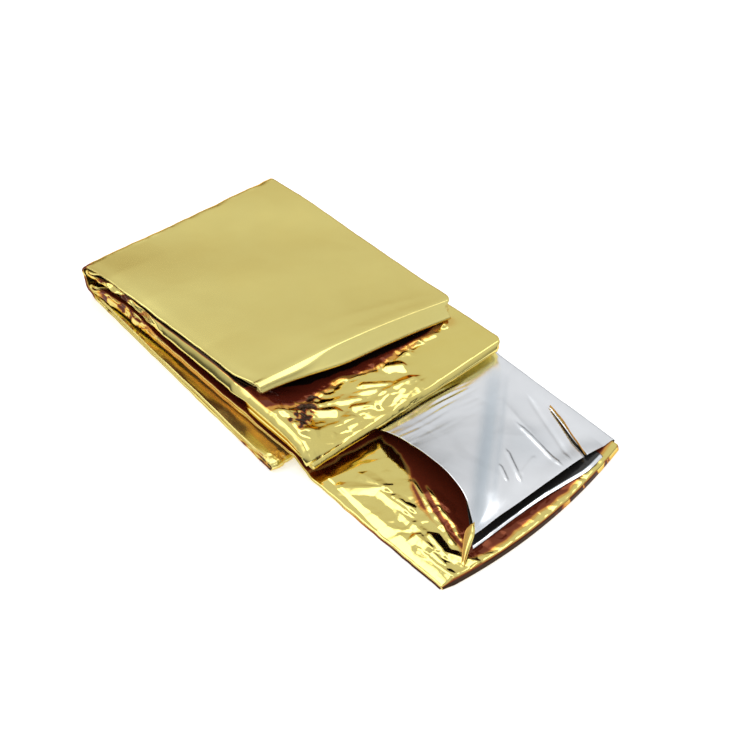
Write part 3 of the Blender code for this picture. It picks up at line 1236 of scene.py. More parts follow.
    def turn(self, line: Fold, outwards: float, count: int, tag: Layer) -> None:
        """Adds the rows round a plain fold, which is half an ellipse.

        Args:
            line: The fold.
            outwards: +1 where it bulges towards +x, -1 towards -x.
            count: How many rows.
            tag: The fold's own layer.
        """
        v = self.v
        x = self.line_x(line, v)
        arrive, leave = between(*line.arrive, v), between(*line.leave, v)
        middle, half = (arrive + leave) / 2, (leave - arrive) / 2
        is_wrap = line is self.left_wrap
        bulge = self.wrap_bulge if is_wrap else np.abs(half)
        for angle in np.linspace(-np.pi / 2, np.pi / 2, count + 2)[1:-1]:
            out, up = np.cos(angle), np.sin(angle)
            foot = between(x, self.wrap_head, (1 + up) / 2) if is_wrap else x
            back = self.half_gap(line) * (1 - out)
            y = between(line.y[0], line.y[1] - self.inset(line, back), v)
            arc = (angle + np.pi / 2) * np.abs(half)
            self.add(foot + outwards * bulge * out, y, middle + half * up, x + arc, self.layer, tag)

    def lay(self) -> None:
        """Adds every row of the strip, close together where it shows, and notes the joints."""
        wrap = self.left_wrap
        head = Fold((self.wrap_head,) * 3, wrap.y, wrap.arrive, wrap.leave)
        shares = spaced((0, 23 / 24, 24), (0.965, 1, 8))
        self.run(self.tucked_end, self.base_front, shares, Layer.BASE)
        self.turn(self.base_front, 1, 8, Layer.BASE)
        self.run(self.base_front, wrap, spaced((0, 1, 42)), Layer.BASE_UNDER)
        self.joints = [0, len(self.rows) - 3]
        self.turn(wrap, -1, 26, Layer.WRAP)
        self.run(head, self.top_front, spaced((0, 1, 100)), Layer.TOP)
        self.front(self.top_front, BLUNT_FRONT, WIDE_FRONT, 36, Layer.TOP_FRONT)
        self.run(self.top_front, self.inner_upper, spaced((0, 1, 60)), Layer.TOP_UNDER)
        self.joints.append(len(self.rows) - 1)
        self.turn(self.inner_upper, -1, 6, Layer.INNER_UPPER)
        shares = spaced((0, 0.4, 64), (0.42, 0.66, 12), (0.664, 1, 76))
        self.run(self.inner_upper, self.second_front, shares, Layer.SECOND)
        self.front(self.second_front, UPRIGHT_FRONT, UPRIGHT_FRONT, 16, Layer.SECOND_FRONT)
        self.run(self.second_front, self.inner_lower, spaced((0, 1, 50)), Layer.SECOND_UNDER)
        self.joints.append(len(self.rows) - 1)
        self.turn(self.inner_lower, -1, 6, Layer.INNER_LOWER)
        shares = spaced((0, 0.26, 64), (0.275, 0.58, 20), (0.583, 1, 176))
        self.run(self.inner_lower, self.open_end, shares, Layer.LAST)
        self.close_end()
        self.joints.append(len(self.rows) - 1)

    def close_end(self) -> None:
        """Adds the rows that thin the open end to its foremost edge."""
        x, y, z, u, thick = self.rows[-1][0].T
        for share in np.arange(1, self.closing_rows + 1) / self.closing_rows:
            low = thick * between(1.0, self.closing_share, share)
            z_low = z - (thick - low) / 2
            self.add(x + 0.5 * thick * share, y, z_low, u + share, low, Layer.CLOSING)

    def arrays(self) -> None:
        """Turns the rows into arrays and bends them a little out of true.

        Layers high in the stack rise and fall by slow waves, and all but the lowest wander
        sideways. The side edges are ragged by short waves.
        """
        data = np.array([row for row, _ in self.rows])
        self.tag = np.array([int(tag) for _, tag in self.rows])
        self.middle = data[..., :3].copy()
        self.u, self.thick = data[..., 3], data[..., 4]
        x, y, z = np.moveaxis(data[..., :3], 2, 0)
        wave = np.sin(0.043 * x + 0.7) * np.cos(0.061 * y - 0.4)
        wave = wave + 0.5 * np.sin(0.0989 * x - 0.061 * y)
        lowest, reach = self.waver_above
        self.middle[..., 2] += self.waver_up * np.clip((z - lowest) / reach, 0.0, 1.0) * wave
        aside = self.waver_aside * np.clip(z - self.waver_aside_above, 0.0, 1.0)
        self.middle[..., 1] += aside * np.sin(0.052 * x + 0.9 * z)
        slow, quick = self.ragged
        ragged = slow * swell(x, 3.0 * z, 13.0, 5) + quick * swell(x, 4.0 * z, 5.0, 6)
        near, far = self.v * STRIP_WIDTH, (1 - self.v) * STRIP_WIDTH
        width = self.ragged_width
        self.middle[..., 1] += ragged * (bell(near, width) - bell(far, width))
        self.normal = normals_of(self.middle)
        self.x, self.y = self.middle[..., 0], self.middle[..., 1]
        self.within = self.y - self.y[:, :1]
        self.ahead = self.line_x(self.open_end, self.v) - self.x

    def by_layer(self, values: dict[tuple[Layer, ...], Array]) -> Array:
        """One array from those of several layers, and zero elsewhere.

        Args:
            values: Arrays of values, by the layers that they are for.

        Returns:
            The array.
        """
        made = np.zeros_like(self.x)
        for layers, value in values.items():
            made = np.where(np.isin(self.tag, layers)[:, None], value, made)
        return made

    def upper_relief(self) -> Array:
        """Height of the relief on the side that shows, layer by layer.

        Returns:
            Heights along the normal, in millimetres.
        """
        x, y, u = self.x, self.y, self.u
        top = TOP_FACETS.height(u, y) + 0.03 * swell(u, y, 60.0, 12) + creased(TOP_CREASES, u, y)
        wrap = WRAP_FACETS.height(u, y) * (bell(y, 5.0) * 0.6 + 0.4)
        ragged = RAGGED_FACETS.height(u, y)
        second, front = self.second_relief(ragged)
        base = BASE_FACETS.height(u, y) * step(x, 20.0, 60.0)
        base += BASE_CORNER_FACETS.height(u, y) * step(x, 131.0, 137.0)
        return self.by_layer(
            {
                (Layer.TOP, Layer.TOP_FRONT): top,
                (Layer.WRAP,): wrap,
                (Layer.SECOND,): second,
                (Layer.SECOND_FRONT,): front,
                (Layer.LAST,): self.last_relief(ragged),
                (Layer.BASE,): base,
            }
        )

    def second_relief(self, ragged: Array) -> tuple[Array, Array]:
        """Relief of the second pad and of its front.

        It is creased most on the near side, swollen behind its front fold and crinkled in the
        pool and along the edge of the lip's shade.

        Args:
            ragged: Fine facets that the near sides share.

        Returns:
            Heights of the pad and of its front.
        """
        x, y, u, within = self.x, self.y, self.u, self.within
        creases = SECOND_CREASING.creases() + SECOND_CREASES
        strong = SECOND_FACETS.height(u, y) + pressed(creases, u, y) + ragged
        strong = calmed(strong, 0.1, within, 1.5, 4.5)
        strong = calmed(strong, 0.15, y, 80.0, 58.0)
        second = strong * step(x, *UNDER_TOP[2:]) + creased(SECOND_KNOBS, u, y)
        wavy = x + 1.2 * swell(x, y, 15.0, 13)
        swollen = SWELLING * window(wavy, SWOLLEN)
        second += swollen * step(within, 1.5, 7.0) * step(y, 72.0, 44.0)
        crushed = POOL.relief(x, y) * step(within, 1.5, 4.0)
        border = bell(x - np.interp(y, *LIP_SHADE), 2.4) * step(y, 92.0, 70.0)
        second += CRINKLE.height(u, y) * np.maximum(crushed, border)
        return second, strong * 0.8

    def last_relief(self, ragged: Array) -> Array:
        """Relief of the end panel: creased on the near side and crumpled along its front rim.

        Args:
            ragged: Fine facets that the near sides share.

        Returns:
            Heights of the end panel.
        """
        x, y, u = self.x, self.y, self.u
        creases = END_CREASING.creases() + END_CREASES
        last = END_FACETS.height(u, y) + pressed(creases, u, y) + ragged
        last = calmed(last, 0.25, y, 34.0, 20.0)
        last = calmed(last, 0.55, self.within, 3.0, 6.0)
        last = calmed(last, 0.3, x, 164.0, 198.0)
        last = calmed(last, 0.0, x, 146.0, 154.0)
        rim = RIM_FACETS.height(u, y) * window(y, RIM_SPAN)
        return last + rim * bell(self.ahead - RIM_MIDDLE, RIM_WIDTH)

    def painted_shades(self) -> tuple[Array, Array, Array]:
        """Painted shade on the strip, from 0 to 1, for how deep in the folds it lies.

        Borders on the plan part what is lit from what mirrors only the folds above it, and they
        are torn by a crumple, so that they are ragged.

        Returns:
            The painted shade of the side that shows, of the other side and of the near edge.
        """
        x, y, within = self.x, self.y, self.within
        torn, finer = TORN.height(x, y), FINELY_TORN.height(x, y)
        lip = self.lip_shade(torn, finer)
        # Painted brown shade on the layers that lie under the top pad.
        tucked = BROWN_SHADE * window(x, UNDER_TOP)
        # Painted shade on the downturned faces of the front folds.
        turned_under_shade = 0.3 * step(self.normal[..., 2], -0.2, -0.5)
        near_side = step(y, 34.0, 26.0)
        # Unpainted flecks in the black painted shade along the open end's foremost edge.
        flecks = step(END_FLECKS.height(x, y), 0.1, 0.35) * step(y, 50.0, 66.0)
        # Dark bits of painted shade on the left wrap and its near edge.
        bits = step(WRAP_BITS.height(self.u, y), 0.15, 0.5)
        last = np.maximum(self.last_shade(torn), tucked * step(within, 0.8, 1.6))
        under_top_shade = COVERED_SHADE * window(x, (UNDER_TOP[0], UNDER_TOP[1], 92.0, 104.0))
        over = self.by_layer(
            {
                (Layer.SECOND,): lip,
                (Layer.LAST,): last,
                (Layer.CLOSING,): 1.0 - 0.95 * flecks,
                (Layer.TOP_UNDER,): under_top_shade,
                (Layer.SECOND_UNDER,): BROWN_SHADE * near_side * step(x, *FOLD_DEEP),
                (Layer.TOP_FRONT,): turned_under_shade,
                (Layer.SECOND_FRONT,): np.maximum(lip, turned_under_shade * near_side),
                (Layer.BASE,): self.base_shade(torn, finer),
                (Layer.WRAP,): 0.8 * bits * bell(y - 1.0, 5.0),
            }
        )
        folded_pad = np.isin(self.tag, (Layer.SECOND, Layer.SECOND_UNDER))[:, None]
        under = np.where(folded_pad & (x < UNDER_TOP[3]), tucked, 0.0)
        edge = np.where(self.tag == Layer.SECOND_UNDER, tucked[:, 0], 0.0)
        return over, under, np.where(self.tag == Layer.WRAP, COVERED_SHADE * bits[:, 0], edge)

    def lip_shade(self, torn: Array, finer: Array) -> Array:
        """Painted shade on the second pad: brown under the lip, black behind, the pool's dark bits.

        Args:
            torn: The crumple that tears the borders.
            finer: A finer one, which strews bits.

        Returns:
            Painted shade of the second pad.
        """
        x, y = self.x, self.y
        rim = np.interp(y, *LIP_SHADE) + torn - x
        lip = 0.34 * step(rim, -1.6, -0.6) + 0.48 * step(rim, 1.0, 2.4)
        black = step(np.interp(y, *LIP_PAINTED_BLACK) + 0.3 * torn - x, -0.6, 0.8)
        lip = np.maximum(lip, black) * step(y, 101.0, 97.0)
        pool = POOL.relief(x, y) * step(self.within, 1.5, 3.0)
        pool = pool * (1.0 + 0.2 * torn + 0.8 * finer) - 0.5
        lip = np.maximum(lip, 0.36 * step(pool, -0.12, -0.04) + 0.64 * step(pool, 0.0, 0.1))
        knob = bell(np.hypot(x - KNOB_PLACE[0], y - KNOB_PLACE[1]), 3.0)
        return between(lip, FAINT_SHADE, np.clip(1.6 * knob, 0.0, 1.0))

    def last_shade(self, torn: Array) -> Array:
        """Painted shade on the end panel: before the second pad's front, and under the arch.

        Args:
            torn: The crumple that tears the borders.

        Returns:
            Painted shade of the end panel.
        """
        x, y = self.x, self.y

        def fringe(past: Array) -> Array:
            """Painted shade past a border, half as dark at first."""
            return 0.36 * step(past, 0.0, 0.9) + 0.64 * step(past, 0.8, 2.6)

        arch = fringe(y - np.interp(x, *ARCH_SHADE) + 0.8 * torn)
        arch *= 1.0 - np.clip(creased(ARCH_STREAKS, x, y), 0.0, 1.0)
        band = fringe(self.ahead - 1.2 - 1.2 * step(y, 20.0, 12.0) + 0.6 * torn)
        under_second = 0.8 * fringe(self.second_front.x[0] + 0.7 * torn - x)
        return np.maximum(under_second, 0.78 * np.minimum(arch, band))

    def base_shade(self, torn: Array, finer: Array) -> Array:
        """Painted shade on the base fold: brown under the stack, and dark bits at its near corner.

        Args:
            torn: The crumple that tears the borders.
            finer: A finer one, which strews bits.

        Returns:
            Painted shade of the base fold.
        """
        x, y, within = self.x, self.y, self.within
        covered = step(within, 3.2, 4.2 + 0.3 * torn) * step(x, *FOLD_DEEP)
        covered *= step(self.normal[..., 2], 0.6, 0.9)
        base = covered * np.where(within < 10.0, np.interp(x, (60.0, 135.0), (0.16, 0.24)), 0.6)
        apart = np.hypot((x - BASE_CORNER_SHADE[0]) / 5.0, (y - BASE_CORNER_SHADE[1]) / 1.6)
        return np.maximum(base, step(np.exp(-apart) * (1.0 + 0.8 * finer), 0.5, 0.7))

    def piece(self, dresser: Dresser, name: str, first: int, last: int) -> bpy.types.Object:
        """A closed stretch of the strip, from one row to another.

        Each row is a loop: over the side that shows, round the far edge's plies, back along the
        other side, and round the near edge's plies. At an edge, a point at a share q of the
        thickness reaches out by the square root of |sin(pi n q)| for n plies.

        Args:
            dresser: Makes the mesh.
            name: Of the piece.
            first: Its first row.
            last: Its last row.

        Returns:
            The object.
        """
        pick = slice(first, last + 1)
        middle, normal, tag = self.middle[pick], self.normal[pick], self.tag[pick, None, None]
        half = self.thick[pick][..., None] / 2
        over = middle + normal * (half + self.relief[pick][..., None])
        back = np.arange(self.columns - 1, -1, -self.under_every)
        under = (middle - normal * half)[:, back]
        q = (np.arange(1, self.lobe_points + 1) / (self.lobe_points + 1))[None, :, None]
        plies = np.where(np.isin(tag, (Layer.TOP_UNDER, Layer.SECOND)), 1.0, self.lobes)
        out = self.lobe_reach * np.abs(np.sin(np.pi * plies * q)) ** 0.5
        near_splay, far_splay = self.splays(pick, q)
        far_out = unit(middle[:, -1] - middle[:, -2])[:, None] * (out + far_splay)
        near_out = unit(middle[:, 0] - middle[:, 1])[:, None]
        near_out = near_out * (out + near_splay + self.dents(pick, q))
        far = between(over[:, -1:], under[:, :1], q) + far_out
        near = between(under[:, -1:], over[:, :1], q) + near_out
        loops = np.concatenate([over, far, under, near], axis=1)
        loops[..., 2] = np.maximum(loops[..., 2], 0.0)
        index = np.arange(loops.shape[0] * loops.shape[1]).reshape(loops.shape[:2])
        onward = np.roll(index, -1, axis=1)
        quads = np.stack([index[:-1], index[1:], onward[1:], onward[:-1]], axis=2).reshape(-1, 4)
        faces = quads.tolist() + [index[0].tolist(), index[-1][::-1].tolist()]
        # Painted shade of each side and of the near edge; the far edge has none.
        painted_shade_over, painted_shade_under, painted_shade_edge = (part[pick] for part in self.painted_shade)
        foot = self.foot(pick, q[..., 0])
        near_painted_shade = np.maximum(painted_shade_edge[:, None], foot)
        far_painted_shade = np.zeros_like(foot)
        painted_shade = np.concatenate([painted_shade_over, far_painted_shade, painted_shade_under[:, back], near_painted_shade], axis=1)
        return dresser.mesh(name, loops, faces, painted_shade, flat_faces=2)

    def splays(self, pick: slice, q: Array) -> tuple[Array, Array]:
        """How far the edges lean out at their foot: a share of the thickness, layer by layer.

        Args:
            pick: The rows.
            q: Shares of the way through the thickness, as an edge's points are laid.

        Returns:
            The near edge's and the far edge's reach, rows by points.
        """
        tag, thick = self.tag[pick, None, None], self.thick[pick][..., None]
        x = self.middle[pick][:, :1, :1]
        last = 0.5 * (tag == Layer.LAST) * step(x, 160.0, 190.0)
        upper = between(0.6, 0.9, step(x, 100.0, 112.0)) * step(x, 4.0, 16.0)
        upper *= tag == Layer.SECOND
        return thick[:, :1] * (last + upper) * (1 - q), thick[:, -1:] * last * q

    def on_edge(self, facets: Crumple, pick: slice, q: Array) -> tuple[Array, Array]:
        """Facets on the near edges of the second pad and the last layer, which are crushed.

        Args:
            facets: The facets, laid out along the strip and through the thickness.
            pick: The rows.
            q: Shares of the way through the thickness, as an edge's points are laid.

        Returns:
            Their heights and the rows' places along the strip, both rows by points.
        """
        q = q.reshape(1, -1)
        tag, x = self.tag[pick, None], self.middle[pick][:, :1, 0]
        height = facets.height(x + 0 * q, 9.0 * q + 5.0 * tag)
        return np.where(np.isin(tag, (Layer.SECOND, Layer.LAST)), height, 0.0), x

    def dents(self, pick: slice, q: Array) -> Array:
        """Relief of the near edges towards the left end, in millimetres."""
        height, x = self.on_edge(EDGE_DENTS, pick, q)
        return (height * window(x, (4.0, 10.0, 40.0, 64.0)))[..., None]

    def foot(self, pick: slice, q: Array) -> Array:
        """Painted shade on the near edges: dark towards their foot, and dark bits at the left end.

        Args:
            pick: The rows.
            q: Shares of the way through the thickness, as an edge's points are laid.

        Returns:
            Painted shade, rows by points.
        """
        tag, x = self.tag[pick, None], self.middle[pick][:, :1, 0]
        is_last, is_base = tag == Layer.LAST, tag == Layer.BASE
        last = is_last * step(x, 165.0, 215.0) * step(q, 0.75, 0.35)
        broken = step(np.sin(0.9 * x) + np.sin(0.37 * x + 1.0), -0.2, 0.4)
        base = is_base * step(q, 0.8, 0.5) + (tag == Layer.BASE_UNDER)
        base *= step(x, 104.0, 125.0) * broken
        brown = is_last * between(0.1, 0.32, step(q, 0.75, 0.6))
        brown *= window(x, (UNDER_TOP[0], UNDER_TOP[1], 100.0, 112.0))
        height, _ = self.on_edge(EDGE_BITS, pick, q)
        bits = 0.9 * step(height, 0.06, 0.24) * window(x, (6.0, 12.0, 34.0, 52.0))
        return np.maximum.reduce([last, base, brown, bits])

    def length(self, first: int, last: int) -> float:
        """Length of the strip between two rows, along its middle."""
        mid = self.middle[first : last + 1, np.searchsorted(self.v, 0.5)]
        return float(np.linalg.norm(np.diff(mid, axis=0), axis=1).sum())

    def build(self, dresser: Dresser) -> None:
        """Builds the four stretches of the strip.

        Args:
            dresser: Makes the meshes and dresses them.
        """
        self.lay()
        self.arrays()
        self.relief = self.upper_relief()
        self.painted_shade = self.painted_shades()
        stretches = (
            ("base_fold", dresser.smooth_gold),
            ("top_fold", dresser.smooth_gold),
            ("second_fold", dresser.gold),
            ("end_panel", dresser.gold),
        )
        for (name, material), first, last in zip(stretches, self.joints, self.joints[1:]):
            made = self.piece(dresser, name, first, last)
            flat = (STRIP_WIDTH, self.length(first, last))
            dresser.finish(made, (material,))


# ---------------- the lifted ply

SILVER_FACETS = Crumple(17.0, 0.012, 61, 1.8, 1.9)
SILVER_CREASES = (
    Crease((150, 100), (236, 11), -0.55, 3.0, 1.8),
    Crease((158, 101), (236, 20), 0.40, 3.4, 1.8),
    Crease((170, 83), (208, 74), 0.35, 2.0, 1.3),
) + folded(
    ((185, 77), (223, 70), 0.5, 1.4),
    ((198, 60), (219, 50), 0.42, 1.3),
    ((205, 50), (216, 45), 0.36, 1.1),
    ((208, 68), (215, 52), 0.36, 1.3),
    ((172, 95), (222, 76), -0.3, 1.6),
)

# Painted shade on the silver, as strokes where it would mirror darker surroundings.
SILVER_PAINTED_STROKES = (
    Crease((152, 98), (236, 9), 0.26, 3.4, 2.6),
    Crease((160, 97), (236, 17), 0.12, 1.2, 2.0),
    Crease((186, 80), (212, 62), 0.06, 9.0, 2.0),
)
DARKEST_SILVER_SHADE = 0.3


@dataclass
class LiftedPly:
    """The open end's upper ply, lifted into an arch, silver side up.

    The arch is its free near edge from back to front, and the slit goes from its closed end to
    its open one. Of its front, front_rise is how high it stays up and how much it then drops.
    The ripples lie around a line some way ahead of the second pad's front fold.
    """

    strip: Strip
    arch: tuple[Triple, ...] = (
        (149.0, 31.5, 4.0), (153.5, 31.2, 4.4), (158.0, 31.0, 6.8), (168.0, 31.0, 9.6),
        (180.0, 30.0, 12.0), (191.0, 28.6, 13.6), (202.0, 26.6, 14.6), (213.0, 23.6, 14.6),
        (222.5, 19.6, 12.8), (226.9, 17.2, 10.7), (229.3, 14.9, 8.2),
    )
    far_x: Pair = (142.5, 219.0)
    rest: float = 2.3
    fall_power: float = 1.6
    front_rise: Pair = (5.2, 2.5)
    front_fall_power: float = 9.0
    front_share: float = 0.84
    rim_start: float = 0.94
    rim_bulge: float = 1.7
    rim_points: int = 9
    across: int = 150
    along: int = 150
    film: float = 0.25
    flat: Pair = (84.0, 92.0)
    slit: tuple[Pair, Pair] = ((187.0, 95.0), (222.5, 82.4))
    slit_width: float = 1.7
    slit_power: float = 0.7
    slit_snap: float = 0.42
    ripple: float = 0.15
    ripple_lengths: Pair = (4.4, 2.9)
    ripple_fold: Pair = (4.0, 14.0)
    ripple_fade: Pair = (86.0, 66.0)

    def slit_line(self) -> tuple[Array, Array, float]:
        """The slit's closed end, its direction and its length."""
        start, end = np.array(self.slit)
        return start, unit(end - start), float(np.linalg.norm(end - start))

    def beside_slit(self, places: Array) -> tuple[Array, Array, Array]:
        """Where places lie by the slit, which widens from nothing with a power of its length.

        Args:
            places: Places on the plan, in their last axis.

        Returns:
            How far along the slit they lie, how far to its left, and half its width there.
        """
        start, along, length = self.slit_line()
        run = (places - start) @ along
        off = (places - start) @ np.array([-along[1], along[0]])
        return run, off, self.slit_width / 2 * np.clip(run / length, 0.0, 1.0) ** self.slit_power

    def snapped(self, grid: Array) -> Array:
        """The grid with the points nearest the slit's edges slid onto them.

        A point's shift on the plan is solved for steps along the grid's rows and columns, so
        that it stays on the surface.

        Args:
            grid: The surface's points.

        Returns:
            The points, of which those near the slit have moved.
        """
        run, off, half = self.beside_slit(grid[..., :2])
        gap = half - np.abs(off)
        near = (run > 0.0) & (np.abs(gap) < self.slit_snap)
        _, along, _ = self.slit_line()
        shift = np.where(near, gap * np.sign(off), 0.0)
        shift_x, shift_y = -along[1] * shift, along[0] * shift
        down, over = np.gradient(grid, axis=0), np.gradient(grid, axis=1)
        area = down[..., 0] * over[..., 1] - down[..., 1] * over[..., 0]
        area = np.where(near, area, 1.0)
        steps_down = (shift_x * over[..., 1] - shift_y * over[..., 0]) / area
        steps_over = (down[..., 0] * shift_y - down[..., 1] * shift_x) / area
        return grid + down * steps_down[..., None] + over * steps_over[..., None]

    def grid(self) -> Array:
        """The ply's middle surface, rows along the strip by points across it.

        Each row falls from the arch to its resting height at the far edge by the power of the
        share that is left, and its last points turn down round the rim to the strip. Towards the
        front the ply straightens to a line that stays up and falls only beside the far edge.

        Returns:
            Points, rows along the strip by points across it.
        """
        arch = np.array(self.arch)
        free = through(arch, np.linspace(0.0, len(arch) - 1.0, self.along))
        share = (free[:, :1] - free[0, 0]) / (free[-1, 0] - free[0, 0])
        x_far = between(*self.far_x, share)
        y_far = self.strip.last_edges(x_far)[1]
        ground = self.strip.last_z(x_far, 1.0)
        low = ground + self.rest
        t = np.linspace(0.0, self.rim_start, self.across)
        run = t / self.rim_start
        x, y = between(free[:, :1], x_far, t), between(free[:, 1:2], y_far, t)
        z = between(low, free[:, 2:], (1.0 - run) ** self.fall_power)
        tip, drop = self.front_rise
        level = low + (tip - drop * run) * (1.0 - run**self.front_fall_power)
        z = between(z, level, step(share, self.front_share, 1.0))
        angle = np.linspace(np.pi / 2, -np.pi / 2, self.rim_points)
        rim_x = np.broadcast_to(x_far, (self.along, self.rim_points))
        rim_y = y_far + self.rim_bulge * np.cos(angle)
        rim_z = ground + self.rest / 2 * (1 + np.sin(angle))
        surface, rim = np.stack([x, y, z], axis=2), np.stack([rim_x, rim_y, rim_z], axis=2)
        return np.concatenate([surface, rim], axis=1)

    def relief(self, x: Array, y: Array) -> Array:
        """Its creases and facets, and ripples along the second pad's front fold.

        The ripples are a long and a short sine wave, bent by slow swells.

        Args:
            x: Places along the strip.
            y: Places across it.

        Returns:
            Heights along the normal, in millimetres.
        """
        ahead, spread = self.ripple_fold
        lined = self.strip.line_x(self.strip.second_front, 0.5) + ahead
        near_fold = bell(x - lined, spread) * step(y, *self.ripple_fade)
        long, short = self.ripple_lengths
        ripples = np.sin(2 * np.pi * (x + 0.1 * y + 1.1 * swell(x, y, 34.0, 8)) / long)
        ripples += 0.6 * np.sin(2 * np.pi * (x + 0.06 * y + swell(x, y, 50.0, 9)) / short)
        ripples *= near_fold * (0.7 + 0.4 * swell(x, y, 18.0, 10))
        return creased(SILVER_CREASES, x, y) + SILVER_FACETS.height(x, y) + self.ripple * ripples

    def build(self, dresser: Dresser) -> None:
        """Builds the lifted ply, whose upper side is silver and whose underside is gold.

        Args:
            dresser: Makes the mesh and dresses it.
        """
        grid = self.grid()
        x, y = grid[..., 0], grid[..., 1]
        painted_shade = np.clip(creased(SILVER_PAINTED_STROKES, x, y), 0.0, DARKEST_SILVER_SHADE)
        grid = self.snapped(grid + normals_of(grid) * self.relief(x, y)[..., None])
        middle = (grid[:-1, :-1] + grid[1:, 1:])[..., :2].reshape(-1, 2) / 2
        run, off, half = self.beside_slit(middle)
        cut = (run > 0.0) & (np.abs(off) < half)
        quads = grid_faces(*grid.shape[:2])[~cut]
        made = dresser.mesh("lifted_ply", grid, quads.tolist(), painted_shade)
        dresser.thicken(made, self.film, two_faced=True)
        materials = (dresser.silver, dresser.gold)
        dresser.finish(made, materials)


# ---------------- smaller plies of the open end

RIM_SHARE = 0.028


@dataclass
class Ribbon:
    """A narrow ply: a surface stretched between two edge curves.

    Attributes:
        name: Of the piece.
        slot: The record's slot.
        first: Points along one edge, in strip millimetres.
        second: As many points along the other.
        flat: Width and length when flat; not used.
        rests_on: What it lies on; not used.
        rows: How many rows of points.
        columns: How many points between the edges.
        area: Its flat area in square millimetres where the cut isn't a rectangle; not used.
        sag: How far its middle stands out along its normal.
        crumple: Its relief.
        two_faced: Whether its other side is gold.
        shade: Its painted shade, and the shares of its width over which that grows from nothing.
        rim: How far its first edge turns down, over RIM_SHARE of its width.
        film: Its thickness, in millimetres.
        crowding: The power by which points crowd towards its first edge.
    """

    name: str
    slot: Slot
    first: tuple[Triple, ...]
    second: tuple[Triple, ...]
    flat: Pair
    rests_on: str
    rows: int
    columns: int
    area: float | None = None
    sag: float = 0.0
    crumple: Crumple | None = None
    two_faced: bool = False
    shade: Triple = (0.0, 0.0, 1.0)
    rim: float = 0.0
    film: float = 0.25
    crowding: float = 1.5

    def build(self, dresser: Dresser) -> None:
        """Builds the ribbon and gives it the film's thickness.

        Args:
            dresser: Makes the mesh and dresses it.
        """
        at = np.linspace(0.0, len(self.first) - 1.0, self.rows)
        one, two = (through(np.array(edge), at)[:, None] for edge in (self.first, self.second))
        t = np.linspace(0.0, 1.0, self.columns) ** self.crowding
        grid = between(one, two, t[:, None])
        grid[..., 2] -= self.rim * np.clip(1.0 - t / RIM_SHARE, 0.0, None)
        relief = self.sag * np.sin(np.pi * t) * np.ones((self.rows, 1))
        if self.crumple:
            relief += self.crumple.height(grid[..., 0] + grid[..., 2], grid[..., 1])
        grid = grid + normals_of(grid) * relief[..., None]
        darkest_shade, start, full = self.shade
        painted_shade = darkest_shade * step(t, start, full) * np.ones((self.rows, 1))
        faces = grid_faces(self.rows, self.columns).tolist()
        made = dresser.mesh(self.name, grid, faces, painted_shade)
        dresser.thicken(made, self.film, self.two_faced)
        main = dresser.gold if self.slot is Slot.GOLD else dresser.silver
        materials = (main, dresser.gold if self.two_faced else main)
        dresser.finish(made, materials)


TURNED_CORNER = Ribbon(
    "turned_corner",
    Slot.GOLD,
    (
        (226.2, 17.8, 11.0), (229.5, 14.9, 8.3), (233.0, 9.0, 5.9), (236.4, 3.2, 3.3),
        (237.6, 0.4, 2.5),
    ),
    (
        (225.8, 16.6, 10.3), (226.0, 13.2, 8.3), (230.6, 7.6, 5.2), (234.8, 3.2, 3.0),
        (237.0, 0.2, 2.4),
    ),
    flat=(10.0, 13.0),
    rests_on="end_panel",
    rows=60,
    columns=12,
    area=68.0,
    sag=0.5,
    # Painted shade, growing across it towards its second edge.
    shade=(0.3, 0.2, 0.9),
)
MIDDLE_PLY = Ribbon(
    "middle_ply",
    Slot.SILVER,
    (
        (231.2, 12.6, 3.7), (230.3, 22.0, 3.7), (228.6, 36.0, 3.7), (227.4, 50.0, 3.8),
        (227.0, 66.0, 3.9), (226.8, 79.0, 3.8), (223.8, 90.0, 3.0),
    ),
    (
        (198.0, 38.0, 2.4), (196.0, 44.0, 2.3), (193.0, 52.0, 2.3), (189.0, 60.0, 2.3),
        (186.0, 68.0, 2.3), (184.0, 79.0, 2.3), (182.0, 90.0, 2.3),
    ),
    flat=(42.0, 78.0),
    rests_on="end_panel",
    rows=110,
    columns=60,
    crumple=Crumple(9.0, 0.03, 71, 1.5, 0.2),
    two_faced=True,
    # Painted nearly black across it, as the shade under the lifted ply, but for a thin front rim.
    shade=(0.95, RIM_SHARE, 0.04),
    rim=0.45,
)
SLIT_LIP = Ribbon(
    "slit_lip",
    Slot.GOLD,
    ((186.5, 96.4, 3.1), (196.6, 93.2, 3.3), (209.4, 88.1, 3.9), (219.6, 83.6, 5.6)),
    ((187.2, 96.0, 3.7), (197.6, 92.4, 4.6), (210.8, 87.0, 5.7), (221.4, 82.4, 6.4)),
    flat=(10.0, 10.0),
    rests_on="lifted_ply",
    rows=70,
    columns=8,
    area=52.0,
    sag=0.25,
    crumple=Crumple(4.0, 0.05, 81, 1.5, 0.2),
    # Painted shade, growing across it from its first edge to its second.
    shade=(0.35, 0.0, 1.0),
)


# ---------------- studio


# The least half size to which a soft box's edges may close in, in degrees.
NARROWEST_BOX = 0.5


